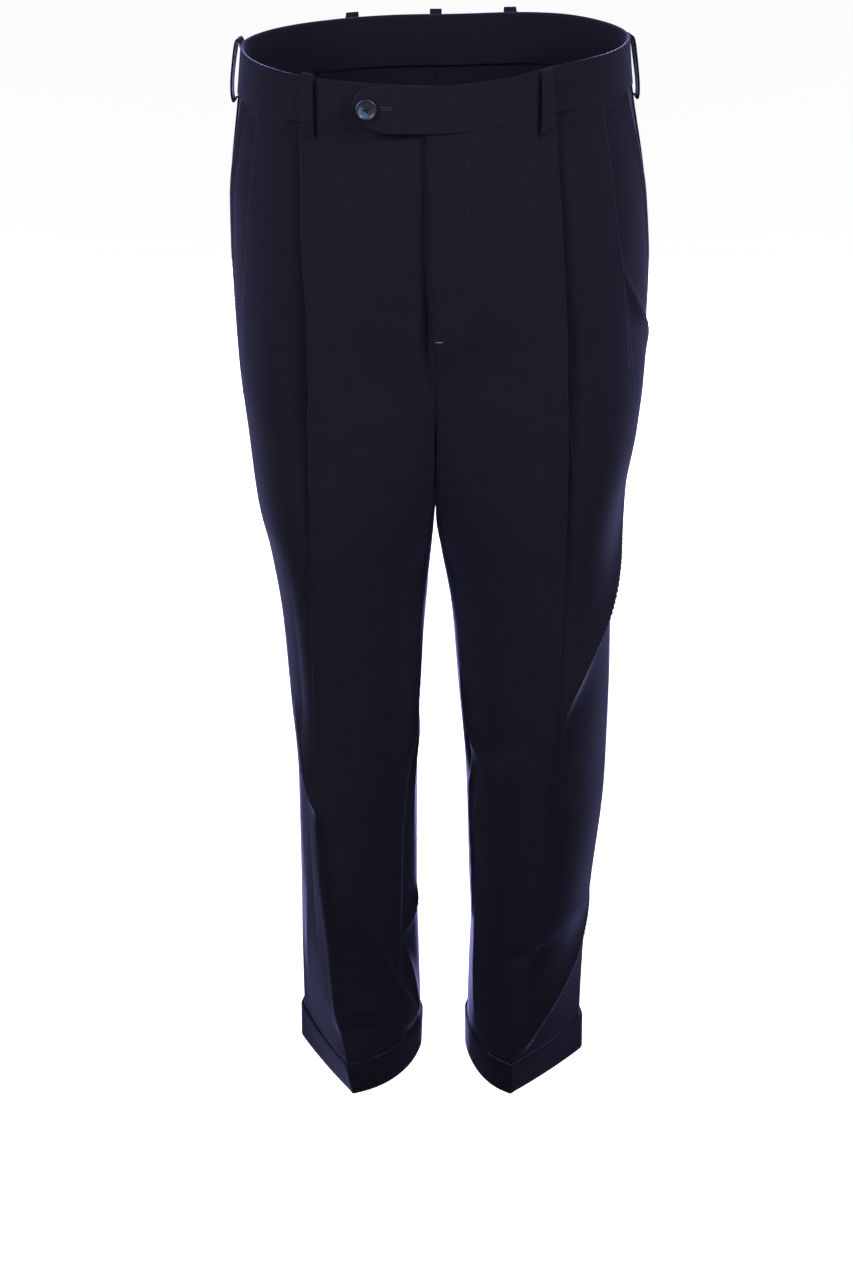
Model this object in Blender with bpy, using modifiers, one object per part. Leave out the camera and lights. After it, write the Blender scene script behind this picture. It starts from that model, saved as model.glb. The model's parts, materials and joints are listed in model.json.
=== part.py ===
"""Pleated dress trousers with turn-ups, open and hollow as they hang when worn.

Metres, +Z up, +X to the wearer's left, the front faces -Y. The origin is the middle of the
waistband's ring. Every panel is a sheet laid over horizontal sections of the two legs, and
then given the wall of the cloth. A place on a section is a distance along it from the centre
seam or inseam, and a distance out from it.
"""

import bpy
import numpy as np

CM = 0.01
MM = 0.001

# Driving dimensions. Heights are measured from the middle of the waistband.
CLOTH = 1.1 * MM
SEAM = 0.3 * MM
BAND_TOP = 2.0 * CM
BAND_FOOT = -1.75 * CM
BAND_WALL = 2.4 * MM
BAND_OUT = -0.2 * MM
WAIST_TILT = 0.035
TILT_ENDS = -20.0 * CM
# The waist sits higher over the hip on the wearer's left.
SIDE_LIFT = {"right": 0.0, "left": 0.8 * CM}
HIP_HALF = 13 * CM
FLY_END = -20.2 * CM
SEAT_TURNS = -19.0 * CM
CROTCH = -31.5 * CM
KNEE = -54.0 * CM
HEM = -100.4 * CM
TURNUP_HEIGHT = 4.1 * CM
TURNUP_WALL = 1.3 * MM
PANEL_FOOT = HEM + 2.8 * MM
POCKET_TOP = 3.2 * CM
POCKET_FOOT = -21.5 * CM
MOUTH_OUT = 1.2 * MM
FACING_WALL = 0.9 * MM
FACING_OUT = -1.8 * MM
FACING_TUCK = 0.7 * CM
TAB_LENGTH = 6.8 * CM
TAB_GAP = 0.5 * MM
# How far the tab's end, in its first four columns, reaches up and down from its point.
TAB_POINT = ((0.15, 0.08), (0.42, 0.22), (0.66, 0.42), (0.90, 0.66))
TAB_POINT_RISE = 2.5 * MM
TAB_RISES = 0.3 * CM
TAB_RISEN = 2.4 * CM
LOOP_WIDTH = 10.5 * MM
LOOP_WALL = 1.3 * MM
BUTTON_RADIUS = 8.5 * MM
BUTTON_PLACE = -5.7 * CM
BUTTON_HEIGHT = 0.2 * CM
THREAD_HOLE = 0.9 * MM
THREAD_HOLES_OUT = 1.7 * MM

# Each leg's horizontal sections, in centimetres: the inseam, the front crease, the outseam and
# the rear crease. x is measured out from the middle of the body, on either side.
SECTION_COLUMNS = (
    "height", "inner_x", "inner_y", "crease_x", "crease_y", "seam_x", "seam_y", "rear_x", "rear_y",
)
SECTIONS = {
    "right": (
        (2.0, 0.02, 0.6, 11.0, -8.8, 16.5, 0.4, 9.4, 8.6),
        (-2.0, 0.02, 0.6, 11.2, -9.1, 16.9, 0.4, 9.5, 9.2),
        (-11.0, 0.02, 0.6, 11.3, -10.5, 17.8, 0.6, 9.5, 11.4),
        (-20.2, 0.08, 0.6, 10.9, -11.4, 17.8, 0.8, 9.2, 12.3),
        (-25.0, 0.08, 0.6, 10.9, -11.5, 17.6, 0.9, 9.0, 12.2),
        (-31.5, 0.08, 0.6, 10.9, -11.4, 16.9, 1.0, 8.6, 11.7),
        (-38.5, 0.10, 0.6, 10.9, -11.1, 16.2, 1.0, 8.2, 11.0),
        (-42.7, 0.30, 0.6, 11.0, -10.8, 15.3, 1.0, 8.0, 10.4),
        (-50.0, 0.90, 0.6, 11.0, -10.3, 14.3, 1.0, 7.8, 9.7),
        (-58.0, 1.40, 0.8, 11.0, -9.8, 13.8, 1.1, 7.7, 9.2),
        (-68.0, 1.75, 1.0, 11.0, -9.2, 13.2, 1.3, 7.6, 9.0),
        (-80.0, 1.80, 1.2, 10.2, -8.7, 13.2, 1.7, 7.6, 8.9),
        (-90.0, 1.60, 1.3, 9.5, -8.4, 13.3, 2.0, 7.6, 8.7),
        (-95.5, 1.50, 1.4, 8.7, -8.4, 13.3, 2.1, 7.6, 8.6),
        (-100.4, 1.60, 1.4, 8.0, -7.7, 13.4, 2.2, 7.6, 8.5),
    ),
    "left": (
        (2.0, 0.02, 0.6, 9.6, -8.4, 16.3, 0.4, 9.4, 8.6),
        (-2.0, 0.02, 0.6, 9.8, -8.7, 16.7, 0.4, 9.5, 9.2),
        (-11.0, 0.02, 0.6, 10.5, -10.4, 18.2, 0.6, 9.7, 11.4),
        (-20.2, 0.08, 0.6, 11.1, -11.3, 18.7, 0.8, 9.6, 12.3),
        (-25.0, 0.08, 0.6, 11.2, -11.4, 18.7, 0.9, 9.4, 12.2),
        (-31.5, 0.08, 0.6, 11.3, -11.3, 18.2, 1.0, 9.2, 11.7),
        (-38.5, 0.12, 0.6, 11.3, -11.0, 17.0, 1.0, 9.0, 11.0),
        (-42.7, 0.50, 0.6, 11.3, -10.7, 16.6, 1.0, 9.0, 10.4),
        (-50.0, 1.55, 0.6, 11.2, -10.3, 16.4, 0.8, 9.1, 9.7),
        (-58.0, 2.20, 0.8, 10.9, -9.8, 16.5, 0.6, 9.3, 9.2),
        (-68.0, 3.05, 1.0, 10.4, -9.2, 16.4, 0.5, 9.5, 9.0),
        (-80.0, 3.45, 1.2, 10.4, -8.7, 15.4, 0.3, 9.5, 8.9),
        (-84.5, 3.65, 1.3, 9.2, -8.5, 15.0, 0.2, 9.4, 8.8),
        (-90.0, 3.50, 1.4, 8.3, -8.3, 14.8, 0.2, 9.3, 8.7),
        (-95.5, 3.40, 1.5, 7.5, -8.4, 14.7, 0.1, 9.2, 8.6),
        (-100.4, 3.40, 1.5, 7.5, -7.7, 14.8, 0.0, 9.1, 8.5),
    ),
}

# Where the cloth turns in at the middle of the body, in centimetres. Below the crotch the two
# legs lie against each other as far as the split.
CENTRE_COLUMNS = ("height", "front", "rear")
CENTRE = (
    (2.0, -11.7, 10.6),
    (-2.0, -12.0, 11.0),
    (-10.0, -12.3, 12.1),
    (-20.2, -12.1, 12.9),
    (-25.0, -11.4, 12.5),
    (-31.5, -9.8, 10.9),
    (-36.0, -7.8, 8.7),
    (-40.0, -5.0, 5.9),
    (-44.0, -2.0, 3.0),
    (-52.0, 0.6, 0.6),
)

# How flat the section runs beside the pressed creases, from 0, round, to 1, straight.
FLATNESS_COLUMNS = ("height", "front_inner", "front_outer", "rear_inner", "rear_outer")
FLATNESS = (
    (2.0, 0, 0, 0, 0),
    (-30.0, 0, 0, 0, 0),
    (-45.0, 5, 10, 10, 10),
    (-60.0, 8, 20, 20, 20),
    (-80.0, 12, 40, 30, 30),
    (-95.0, 32, 82, 35, 35),
    (-100.4, 40, 92, 40, 40),
)

# The two reverse pleats of each front, in centimetres, and the pressed crease that the inner
# one becomes. overlap is the cloth folded under, layer half the step between two layers, and
# open runs from 0, a folded pleat, to 1, a pressed crease or flat cloth.
PLEAT_COLUMNS = ("height", "overlap", "layer", "open")
INNER_PLEAT = (
    (-2.0, 2.0, 0.085, 0),
    (-15.0, 0.0, 0.20, 0),
    (-25.0, 0.0, 0.16, 0.5),
    (-36.0, 0.0, 0.10, 1),
)
OUTER_PLEAT = (
    (-2.0, 1.5, 0.085, 0),
    (-12.0, 0.0, 0.17, 0),
    (-20.0, 0.0, 0.12, 0.6),
    (-28.0, 0.0, 0.10, 1),
)
PLEAT_APART_COLUMNS = ("height", "right", "left")
PLEAT_APART = ((-2.0, 5.2, 5.0), (-10.0, 6.6, 6.4), (-20.0, 8.8, 8.3), (-30.0, 9.2, 8.8))
CREASE_RIDGE = 1.4 * MM
# Columns of each panel, as shares of the way from where the cloth turns out to the crease.
CENTRE_SHARES = np.array([0.12, 0.25, 0.40, 0.55, 0.70, 0.86])
REAR_SHARES = np.array([0.10, 0.24, 0.40, 0.56, 0.72, 0.86])
REAR_RIDGE = 1.1 * MM

# The fly edge of the wearer's left front, in centimetres: how far it laps past the centre, and
# how far it stands out over the other front.
FLY_COLUMNS = ("height", "lap", "raise")
FLY = ((-2.0, 0.9, 0.22), (-20.2, 0.4, 0.22), (-20.6, 0.0, 0.22), (-22.4, 0.0, 0.0))

# Belt loops: the side they are on, and the distance round the band from the front centre.
LOOPS = {
    "belt_loop_front_right": ("right", 10.75 * CM),
    "belt_loop_front_left": ("left", 9.35 * CM),
    "belt_loop_side_right": ("right", 24.0 * CM),
    "belt_loop_side_left": ("left", 23.8 * CM),
    "belt_loop_back_right": ("right", 36.5 * CM),
    "belt_loop_back_left": ("left", 36.5 * CM),
}
# A loop's line, in centimetres: how far it stands out from the section, and its height.
LOOP_LINE = (
    (0.20, 1.70), (0.24, 2.12), (0.36, 2.30), (0.47, 1.90), (0.50, 0.50),
    (0.49, -1.20), (0.42, -2.30), (0.30, -2.80), (0.20, -2.65),
)


def reading(table, columns, name, height):
    """A named column at each height in metres, by a cubic that never overshoots the rows."""
    rows = np.array(table, float)[::-1] * CM
    at, value = rows[:, 0], rows[:, columns.index(name)]
    step = np.diff(at)
    slope = np.diff(value) / step
    same = slope[:-1] * slope[1:] > 0
    total = np.where(same, slope[:-1] + slope[1:], 1.0)
    inner = np.where(same, 2 * slope[:-1] * slope[1:] / total, 0.0)
    tangent = np.concatenate([slope[:1], inner, slope[-1:]])
    height = np.clip(height, at[0], at[-1])
    row = np.clip(np.searchsorted(at, height, side="right") - 1, 0, len(step) - 1)
    t = (height - at[row]) / step[row]
    return (
        value[row] * (1 + 2 * t) * (1 - t) ** 2
        + value[row + 1] * t**2 * (3 - 2 * t)
        + tangent[row] * step[row] * t * (1 - t) ** 2
        - tangent[row + 1] * step[row] * t**2 * (1 - t)
    )


def ramp(value, start, end):
    """0 at start, 1 at end, with level ends."""
    t = np.clip((value - start) / (end - start), 0, 1)
    return t * t * (3 - 2 * t)


def section(side, height, rear=False):
    """The front or rear half of each section, from the centre seam or inseam to the outseam.

    A straight stretch lies along the middle of the body, from the seam to where the cloth
    turns out. An arc then runs to the crease and another to the outseam. At the waist the
    arcs are one ellipse, and down the leg each is a quarter of a squared ellipse, drawn
    towards its chord by the flatness.
    """
    name = "rear" if rear else "crease"
    read = {
        column: reading(SECTIONS[side], SECTION_COLUMNS, column, height)[:, None]
        for column in SECTION_COLUMNS[1:]
    }
    x0, xc, yc = read["inner_x"], read[name + "_x"], read[name + "_y"]
    xs, ys = read["seam_x"], read["seam_y"]
    half = "rear" if rear else "front"
    flat_in, flat_out = (
        reading(FLATNESS, FLATNESS_COLUMNS, half + place, height)[:, None]
        for place in ("_inner", "_outer")
    )
    turn = reading(CENTRE, CENTRE_COLUMNS, half, height)[:, None]
    turn = np.maximum(turn, read["inner_y"]) if rear else np.minimum(turn, read["inner_y"])
    start = SEAT_TURNS if rear else FLY_END
    t = np.clip((height - start) / (CROTCH - start), 0, 1)[:, None]
    meet = turn + (read["inner_y"] - turn) * (1 - np.sqrt(1 - t * t))

    straight = np.linspace(0, 1, 7)[:-1]
    along = np.linspace(0, 1, 33)
    power = 2 / 2.35
    corner = np.arcsin(np.clip(xc / xs, 0, 0.98))
    quarter = along * np.pi / 2

    leg = ramp(height, -16 * CM, -27 * CM)[:, None]
    body_x = x0 + (xc - x0) * np.sin(along * corner) / np.sin(corner)
    body_y = turn + (yc - turn) * (1 - np.cos(along * corner)) / (1 - np.cos(corner))
    leg_x = xc - (xc - x0) * np.cos(quarter) ** power
    leg_y = turn + (yc - turn) * np.sin(quarter) ** power
    leg_x += flat_in * (x0 + (xc - x0) * along - leg_x)
    leg_y += flat_in * (turn + (yc - turn) * along - leg_y)
    inner_x, inner_y = body_x + leg * (leg_x - body_x), body_y + leg * (leg_y - body_y)

    leg = ramp(height, -12 * CM, -38 * CM)[:, None]
    angle = corner + along * (np.pi / 2 - corner)
    body_x = xc + (xs - xc) * (np.sin(angle) - np.sin(corner)) / (1 - np.sin(corner))
    body_y = yc + (ys - yc) * (1 - np.cos(angle) / np.cos(corner))
    leg_x = xc + (xs - xc) * np.sin(quarter) ** power
    leg_y = ys + (yc - ys) * np.cos(quarter) ** power
    leg_x += flat_out * (xc + (xs - xc) * along - leg_x)
    leg_y += flat_out * (yc + (ys - yc) * along - leg_y)
    outer_x, outer_y = body_x + leg * (leg_x - body_x), body_y + leg * (leg_y - body_y)

    x = np.hstack([x0 + 0 * straight, inner_x, outer_x[:, 1:]])
    y = np.hstack([meet + (turn - meet) * straight, inner_y, outer_y[:, 1:]])
    pieces = np.hypot(np.diff(x), np.diff(y))
    arc = np.hstack([0 * x0, np.cumsum(pieces, axis=1)])
    crease = arc[:, len(straight) + len(along) - 1]
    turned = arc[:, len(straight)]
    end = arc[:, -1]
    return {
        "x": x, "y": y, "arc": arc, "turned": turned, "crease": crease, "end": end, "rear": rear,
        "lift": SIDE_LIFT[side],
    }


def place(path, height, along, out):
    """Points (row, column, xyz) at a distance along each section and a distance out from it."""
    x, y, normal_x, normal_y = (np.empty(along.shape) for _ in range(4))
    reach = 3 * MM
    for row, arc in enumerate(path["arc"]):
        # The section runs on in a straight line before its start, where a fly laps over.
        before = np.minimum(along[row], 0)
        x[row] = np.interp(along[row], arc, path["x"][row]) + before
        y[row] = np.interp(along[row], arc, path["y"][row])
        low = np.clip(along[row] - reach, 0, arc[-1] - reach)
        high = np.clip(along[row] + reach, reach, arc[-1])
        step_x = np.interp(high, arc, path["x"][row]) - np.interp(low, arc, path["x"][row])
        step_y = np.interp(high, arc, path["y"][row]) - np.interp(low, arc, path["y"][row])
        length = np.hypot(step_x, step_y)
        turn = -1 if path["rear"] else 1
        normal_x[row], normal_y[row] = turn * step_y / length, -turn * step_x / length
    x, y = x + normal_x * out, y + normal_y * out
    near_waist = ramp(height, TILT_ENDS, BAND_FOOT)[:, None]
    raised = WAIST_TILT * y + path["lift"] * ramp(x, 0, HIP_HALF)
    return np.stack([x, y, height[:, None] + near_waist * raised], axis=2)


def pleat(table, height, ridge):
    """A reverse pleat's eight places: distance along from its fold, and distance out.

    Folded, the top layer runs out to the fold, turns back under by the overlap and turns out
    again below. Open, the same places spread over a soft ridge, or over flat cloth.
    """
    overlap, layer = (
        reading(table, PLEAT_COLUMNS, column, height)[:, None] for column in ("overlap", "layer")
    )
    opened = reading(table, PLEAT_COLUMNS, "open", height)[:, None] / CM
    margin = 8 * MM
    deep = -overlap - layer
    along = np.hstack([
        -overlap - margin, -layer, 0 * layer, -layer / 2,
        deep + layer / 2, deep, deep + layer, margin + 0 * layer,
    ])
    sink = np.array([0, 0, -1, -1.85, -2.15, -3, -3.9, -4]) * layer
    spread = np.array([-12, -5, 0, 5, 9, 13, 18, 24]) * MM
    rise = np.array([0, 0.3, 1, 0.3, 0.1, 0, 0, 0]) * ridge
    return along + opened * (spread - along), sink + opened * (rise - sink)


def levels():
    """Heights of a panel's rows, above the knee and below: close at the crotch seam's turn."""
    upper = np.linspace(BAND_FOOT - SEAM, FLY_END, 8)
    fly = np.array([-20.6, -22.4]) * CM
    turn = FLY_END + (CROTCH - FLY_END) * np.sin(np.radians([20, 29, 38, 51, 64, 77, 90]))
    thigh = np.linspace(CROTCH, KNEE + SEAM / 2, 5)[1:]
    shin = np.linspace(KNEE - SEAM / 2, PANEL_FOOT, 9)
    return {"upper": np.concatenate([upper, fly, turn, thigh]), "lower": shin}


def between(first, last, count):
    """Columns strictly between two columns."""
    share = np.linspace(0, 1, count + 2)[1:-1]
    return first + (last - first) * share


def middle_columns(path, last, shares):
    """Columns up the straight stretch, all but closed where it has no length, and then beyond."""
    turned = path["turned"][:, None]
    steps = np.arange(1, 4)
    return np.hstack([steps * 0.6 * MM + steps / 3 * turned, turned + shares * (last - turned)])


def front_columns(side, height, path):
    """Where a front panel's columns lie on each section: distance along, distance out."""
    crease, end = path["crease"][:, None], path["end"][:, None]
    apart = reading(PLEAT_APART, PLEAT_APART_COLUMNS, side, height)[:, None]
    apart = np.minimum(apart, 0.6 * (end - crease))
    inner_along, inner_out = pleat(INNER_PLEAT, height, CREASE_RIDGE * pressed(height))
    outer_along, outer_out = pleat(OUTER_PLEAT, height, 0)
    inner_along, outer_along = inner_along + crease, outer_along + crease + apart

    lap, lift = 0 * crease, 0 * crease
    if side == "left":
        lap = reading(FLY, FLY_COLUMNS, "lap", height)[:, None]
        lift = reading(FLY, FLY_COLUMNS, "raise", height)[:, None]
    centre_along = np.hstack([-lap, middle_columns(path, inner_along[:, :1], CENTRE_SHARES)])
    centre_out = lift * (1 - ramp(centre_along, 0.3 * CM, 2.2 * CM))

    middle_along = between(inner_along[:, -1:], outer_along[:, :1], 2)
    middle_out = between(inner_out[:, -1:], outer_out[:, :1], 2)
    mouth = pocket_mouth(height)
    last = end - mouth - outseam_gap(height)
    last_out = MOUTH_OUT * ramp(mouth, 0, 1 * CM)
    near = last - 0.95 * CM
    side_along = np.hstack([between(outer_along[:, -1:], near, 1), near, last])
    side_out = np.hstack([between(outer_out[:, -1:], 0 * last, 1), 0 * last, last_out])
    return (
        np.hstack([centre_along, inner_along, middle_along, outer_along, side_along]),
        np.hstack([centre_out, inner_out, middle_out, outer_out, side_out]),
    )


def pressed(height):
    """1 where a pressed crease stands up, 0 where the turn-up lies round it."""
    return ramp(height, HEM + TURNUP_HEIGHT + 0.5 * CM, HEM + TURNUP_HEIGHT + 5 * CM)[:, None]


def outseam_gap(height):
    """How far short of the outseam a panel stops: more where the seam is a sharper corner."""
    return SEAM / 2 + 0.55 * MM * ramp(height, -25 * CM, -75 * CM)[:, None]


def pocket_mouth(height):
    """How far forward of the outseam the slant pocket's edge lies."""
    share = np.clip((height - POCKET_FOOT) / (BAND_FOOT - POCKET_FOOT), 0, 1)
    return POCKET_TOP * share[:, None]


def rear_columns(height, path):
    """Where a back panel's columns lie, with the pressed crease as a low ridge."""
    crease, end = path["crease"][:, None], path["end"][:, None]
    columns = crease + np.array([-8, 0, 8]) * MM
    along = np.hstack([
        0 * crease, middle_columns(path, columns[:, :1], REAR_SHARES), columns,
        between(columns[:, -1:], end, 4), end - outseam_gap(height),
    ])
    rise = REAR_RIDGE * pressed(height) * ramp(height, -15 * CM, -35 * CM)[:, None]
    return along, rise * (np.abs(along - crease) < 1 * MM)


def sheet(name, points, material, wall, flip, closed=False):
    """A node from a grid of points (row, column, xyz), given its wall by Solidify."""
    rows, columns = points.shape[:2]
    index = np.arange(rows * columns).reshape(rows, columns)
    if closed:
        index = np.hstack([index, index[:, :1]])
    corners = [index[:-1, :-1], index[1:, :-1], index[1:, 1:], index[:-1, 1:]]
    quads = np.stack(corners, axis=2).reshape(-1, 4)
    mesh = bpy.data.meshes.new(name)
    mesh.from_pydata(points.reshape(-1, 3).tolist(), [], quads[:, ::-1 if flip else 1].tolist())
    mesh.shade_smooth()
    obj = bpy.data.objects.new(name, mesh)
    collection.objects.link(obj)
    mesh.materials.append(material)
    solid = obj.modifiers.new("Wall", "SOLIDIFY")
    solid.thickness, solid.offset = wall, 0
    return obj


def sided(points, side):
    """Points mirrored onto the wearer's right where that is their side."""
    return points * (1, 1, 1) if side == "left" else points * (-1, 1, 1)


def make_panels(side, cloth):
    """The front and back of one side, each in two lengths that meet at the knee, and its facing."""
    for length, height in levels().items():
        front, rear = section(side, height), section(side, height, rear=True)
        # The inseam's two edges part by the seam gap: the legs are closed below the crotch.
        gap = SEAM / 2 * (height <= CROTCH)[:, None]
        along, out = front_columns(side, height, front)
        along[:, :1] += gap
        points = place(front, height, along, out)
        sheet(f"front_{side}_{length}", sided(points, side), cloth, CLOTH, side == "right")
        along, out = rear_columns(height, rear)
        along[:, :1] += gap
        points = place(rear, height, along, out)
        sheet(f"back_{side}_{length}", sided(points, side), cloth, CLOTH, side == "left")

    height = np.linspace(BAND_FOOT - SEAM, POCKET_FOOT + 8 * MM, 8)
    path = section(side, height)
    last = path["end"][:, None] - SEAM / 2
    first = last - pocket_mouth(height) - FACING_TUCK
    along = np.hstack([first, between(first, last, 3), last])
    points = place(path, height, along, FACING_OUT + 0 * along)
    sheet("pocket_facing_" + side, sided(points, side), cloth, FACING_WALL, side == "right")


def band_ring(side, height, around, out):
    """Points on the waist's ring at a distance round it from the front centre."""
    front, rear = section(side, height), section(side, height, rear=True)
    turn = front["end"][:, None]
    whole = turn + rear["end"][:, None]
    ahead = place(front, height, np.minimum(around, turn), out)
    behind = place(rear, height, np.clip(whole - around, 0, None), out)
    return np.where((around <= turn)[:, :, None], ahead, behind)


def make_waistband(side, cloth):
    """Half the band. The wearer's left half runs on past the centre as the pointed tab."""
    height = np.linspace(BAND_TOP, BAND_FOOT, 3)
    front, rear = section(side, height), section(side, height, rear=True)
    whole = (front["end"] + rear["end"])[:, None]
    around = np.linspace(0, 1, 22) * (whole - SEAM / 2)
    out = BAND_OUT + 0 * around
    if side == "left":
        tab = np.array([-1, -0.985, -0.94, -0.86, -0.6, -0.3, 0]) * TAB_LENGTH
        begun = np.hstack([tab, TAB_RISES, TAB_RISEN]) + 0 * whole
        around = np.hstack([begun, around[:, 2:]])
        out = BAND_OUT + (BAND_WALL + TAB_GAP) * (1 - ramp(around, TAB_RISES, TAB_RISEN))
    points = band_ring(side, height, around, out)
    if side == "left":
        # The tab's end is cut to a blunt point, a little above the middle.
        for column, (up, down) in enumerate(TAB_POINT):
            middle = points[1, column, 2] + TAB_POINT_RISE
            points[0, column, 2] = middle + up * (points[0, column, 2] - middle)
            points[2, column, 2] = middle + down * (points[2, column, 2] - middle)
            points[1, column, 2] = (points[0, column, 2] + points[2, column, 2]) / 2
    sheet("waistband_" + side, sided(points, side), cloth, BAND_WALL, side == "right")


def make_loop(name, side, middle, cloth):
    """A belt loop: a strip whose line stands off the band and comes back to it at both ends."""
    line = np.array(LOOP_LINE) * CM
    out, height = line[:, :1] + np.zeros((1, 3)), line[:, 1]
    around = middle + np.array([[-0.5, 0, 0.5]]) * LOOP_WIDTH + 0 * out
    points = band_ring(side, height, around, out)
    sheet(name, sided(points, side), cloth, LOOP_WALL, side == "right")


def make_centre_loop(cloth):
    """The loop over the centre-back seam, square to it."""
    line = np.array(LOOP_LINE) * CM
    height = line[:, 1]
    rear = section("left", height, rear=True)
    points = place(rear, height, np.zeros((len(height), 3)), line[:, :1] + np.zeros((1, 3)))
    points[:, :, 0] = np.array([-0.5, 0, 0.5]) * LOOP_WIDTH
    sheet("belt_loop_centre_back", points, cloth, LOOP_WALL, True)


def make_turnup(side, cloth):
    """The hem's cuff: up the outside of the leg, and turned in under the panels' edge."""
    profile = np.array([
        (2.6 * MM, TURNUP_HEIGHT), (2.3 * MM, 0.5 * TURNUP_HEIGHT), (2.1 * MM, 3 * MM),
        (1.4 * MM, TURNUP_WALL / 2), (-0.8 * MM, TURNUP_WALL / 2),
    ])
    height = HEM + profile[:, 1]
    out = profile[:, :1]
    front, rear = section(side, height), section(side, height, rear=True)
    ahead = np.hstack([
        between(0, front["crease"][:, None], 8), front["crease"][:, None],
        between(front["crease"][:, None], front["end"][:, None], 8),
    ])
    behind = np.hstack([
        rear["end"][:, None], between(rear["end"][:, None], rear["crease"][:, None], 8),
        rear["crease"][:, None], between(rear["crease"][:, None], 0, 8), 0 * out,
    ])
    points = np.hstack([
        place(front, height, ahead, out + 0 * ahead), place(rear, height, behind, out + 0 * behind),
    ])
    sheet("turnup_" + side, sided(points, side), cloth, TURNUP_WALL, side == "right", closed=True)


def make_button(plastic):
    """The waist button: a turned disc with a raised rim, pierced by four thread holes."""
    radius = BUTTON_RADIUS
    profile = (
        (0.0, 1.8 * MM), (0.62 * radius, 1.9 * MM), (0.74 * radius, 2.7 * MM),
        (0.90 * radius, 2.8 * MM), (radius, 2.0 * MM), (radius, 1.1 * MM),
        (0.86 * radius, 0.2 * MM), (0.5 * radius, 0.0), (0.0, 0.0),
    )
    mesh = bpy.data.meshes.new("button")
    edges = [(i, i + 1) for i in range(len(profile) - 1)]
    mesh.from_pydata([(x, 0, z) for x, z in profile], edges, [])
    obj = bpy.data.objects.new("button", mesh)
    collection.objects.link(obj)
    mesh.materials.append(plastic)
    screw = obj.modifiers.new("Turn", "SCREW")
    screw.steps = screw.render_steps = 28
    screw.use_merge_vertices, screw.merge_threshold = True, 0.00001
    screw.use_smooth_shade = True
    for corner in range(4):
        angle = np.pi / 4 + corner * np.pi / 2
        bpy.ops.mesh.primitive_cylinder_add(
            vertices=10, radius=THREAD_HOLE, depth=12 * MM,
            location=(THREAD_HOLES_OUT * np.cos(angle), THREAD_HOLES_OUT * np.sin(angle), 0),
        )
        cutter = bpy.context.object
        cutter.name = f"cut_button_hole_{corner}"
        cutter.hide_render, cutter.display_type = True, "WIRE"
        for holder in list(cutter.users_collection):
            holder.objects.unlink(cutter)
        cutters.objects.link(cutter)
        cutter.parent = obj
        cut = obj.modifiers.new(f"Hole {corner}", "BOOLEAN")
        cut.object, cut.operation, cut.solver = cutter, "DIFFERENCE", "EXACT"

    # It sits on the tab, near its point, facing out of the band.
    height = np.array([BUTTON_HEIGHT])
    path = section("left", height)
    along = np.array([[BUTTON_PLACE]])
    out = np.array([[BAND_OUT + 1.5 * BAND_WALL + TAB_GAP + 0.9 * MM]])
    seat = place(path, height, along, out)[0, 0]
    facing = place(path, height, along, out + CM)[0, 0] - seat
    obj.location = seat
    obj.rotation_euler = (np.pi / 2, 0, np.arctan2(facing[0], -facing[1]))


def material(name, colour, roughness):
    """A plain finish for a piece."""
    made = bpy.data.materials.new(name)
    made.use_nodes = True
    shader = made.node_tree.nodes["Principled BSDF"]
    shader.inputs["Base Color"].default_value = (*colour, 1)
    shader.inputs["Roughness"].default_value = roughness
    shader.inputs["Metallic"].default_value = 0
    return made


for old in list(bpy.data.objects):
    bpy.data.objects.remove(old)
collection = bpy.data.collections.new("pleated_dress_trousers")
cutters = bpy.data.collections.new("cutters")
for made in (collection, cutters):
    bpy.context.scene.collection.children.link(made)

worsted = material("worsted_cloth", (0.014, 0.014, 0.030), 0.75)
resin = material("button_resin", (0.012, 0.030, 0.045), 0.25)
for side in ("right", "left"):
    make_panels(side, worsted)
    make_waistband(side, worsted)
    make_turnup(side, worsted)
for name, (side, middle) in LOOPS.items():
    make_loop(name, side, middle, worsted)
make_centre_loop(worsted)
make_button(resin)
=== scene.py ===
"""Pleated dress trousers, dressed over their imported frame.

Metres, +Z up, +X to the wearer's left, the front faces -Y. The origin is the middle of the
waistband's ring. Each piece of cloth is a fine sheet laid over horizontal sections of the legs:
a place on it is a distance round a section and a distance out from it.
"""

import json

import bpy
import numpy as np
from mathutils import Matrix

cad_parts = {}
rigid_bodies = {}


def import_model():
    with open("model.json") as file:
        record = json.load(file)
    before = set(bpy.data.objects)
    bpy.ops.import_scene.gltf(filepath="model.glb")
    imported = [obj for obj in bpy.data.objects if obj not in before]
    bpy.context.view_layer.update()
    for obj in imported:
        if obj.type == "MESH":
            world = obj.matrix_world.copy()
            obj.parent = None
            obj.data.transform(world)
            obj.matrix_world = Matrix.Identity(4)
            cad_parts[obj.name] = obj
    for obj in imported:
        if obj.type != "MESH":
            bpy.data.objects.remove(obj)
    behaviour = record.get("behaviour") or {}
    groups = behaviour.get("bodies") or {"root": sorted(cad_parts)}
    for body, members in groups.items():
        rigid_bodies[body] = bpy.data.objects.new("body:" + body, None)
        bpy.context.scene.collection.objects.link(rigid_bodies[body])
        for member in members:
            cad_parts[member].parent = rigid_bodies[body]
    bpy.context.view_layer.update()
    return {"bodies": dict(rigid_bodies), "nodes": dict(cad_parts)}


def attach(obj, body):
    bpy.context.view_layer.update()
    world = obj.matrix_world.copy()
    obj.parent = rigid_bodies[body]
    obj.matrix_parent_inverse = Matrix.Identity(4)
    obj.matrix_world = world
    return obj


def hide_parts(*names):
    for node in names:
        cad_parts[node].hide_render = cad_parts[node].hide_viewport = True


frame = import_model()


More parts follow.
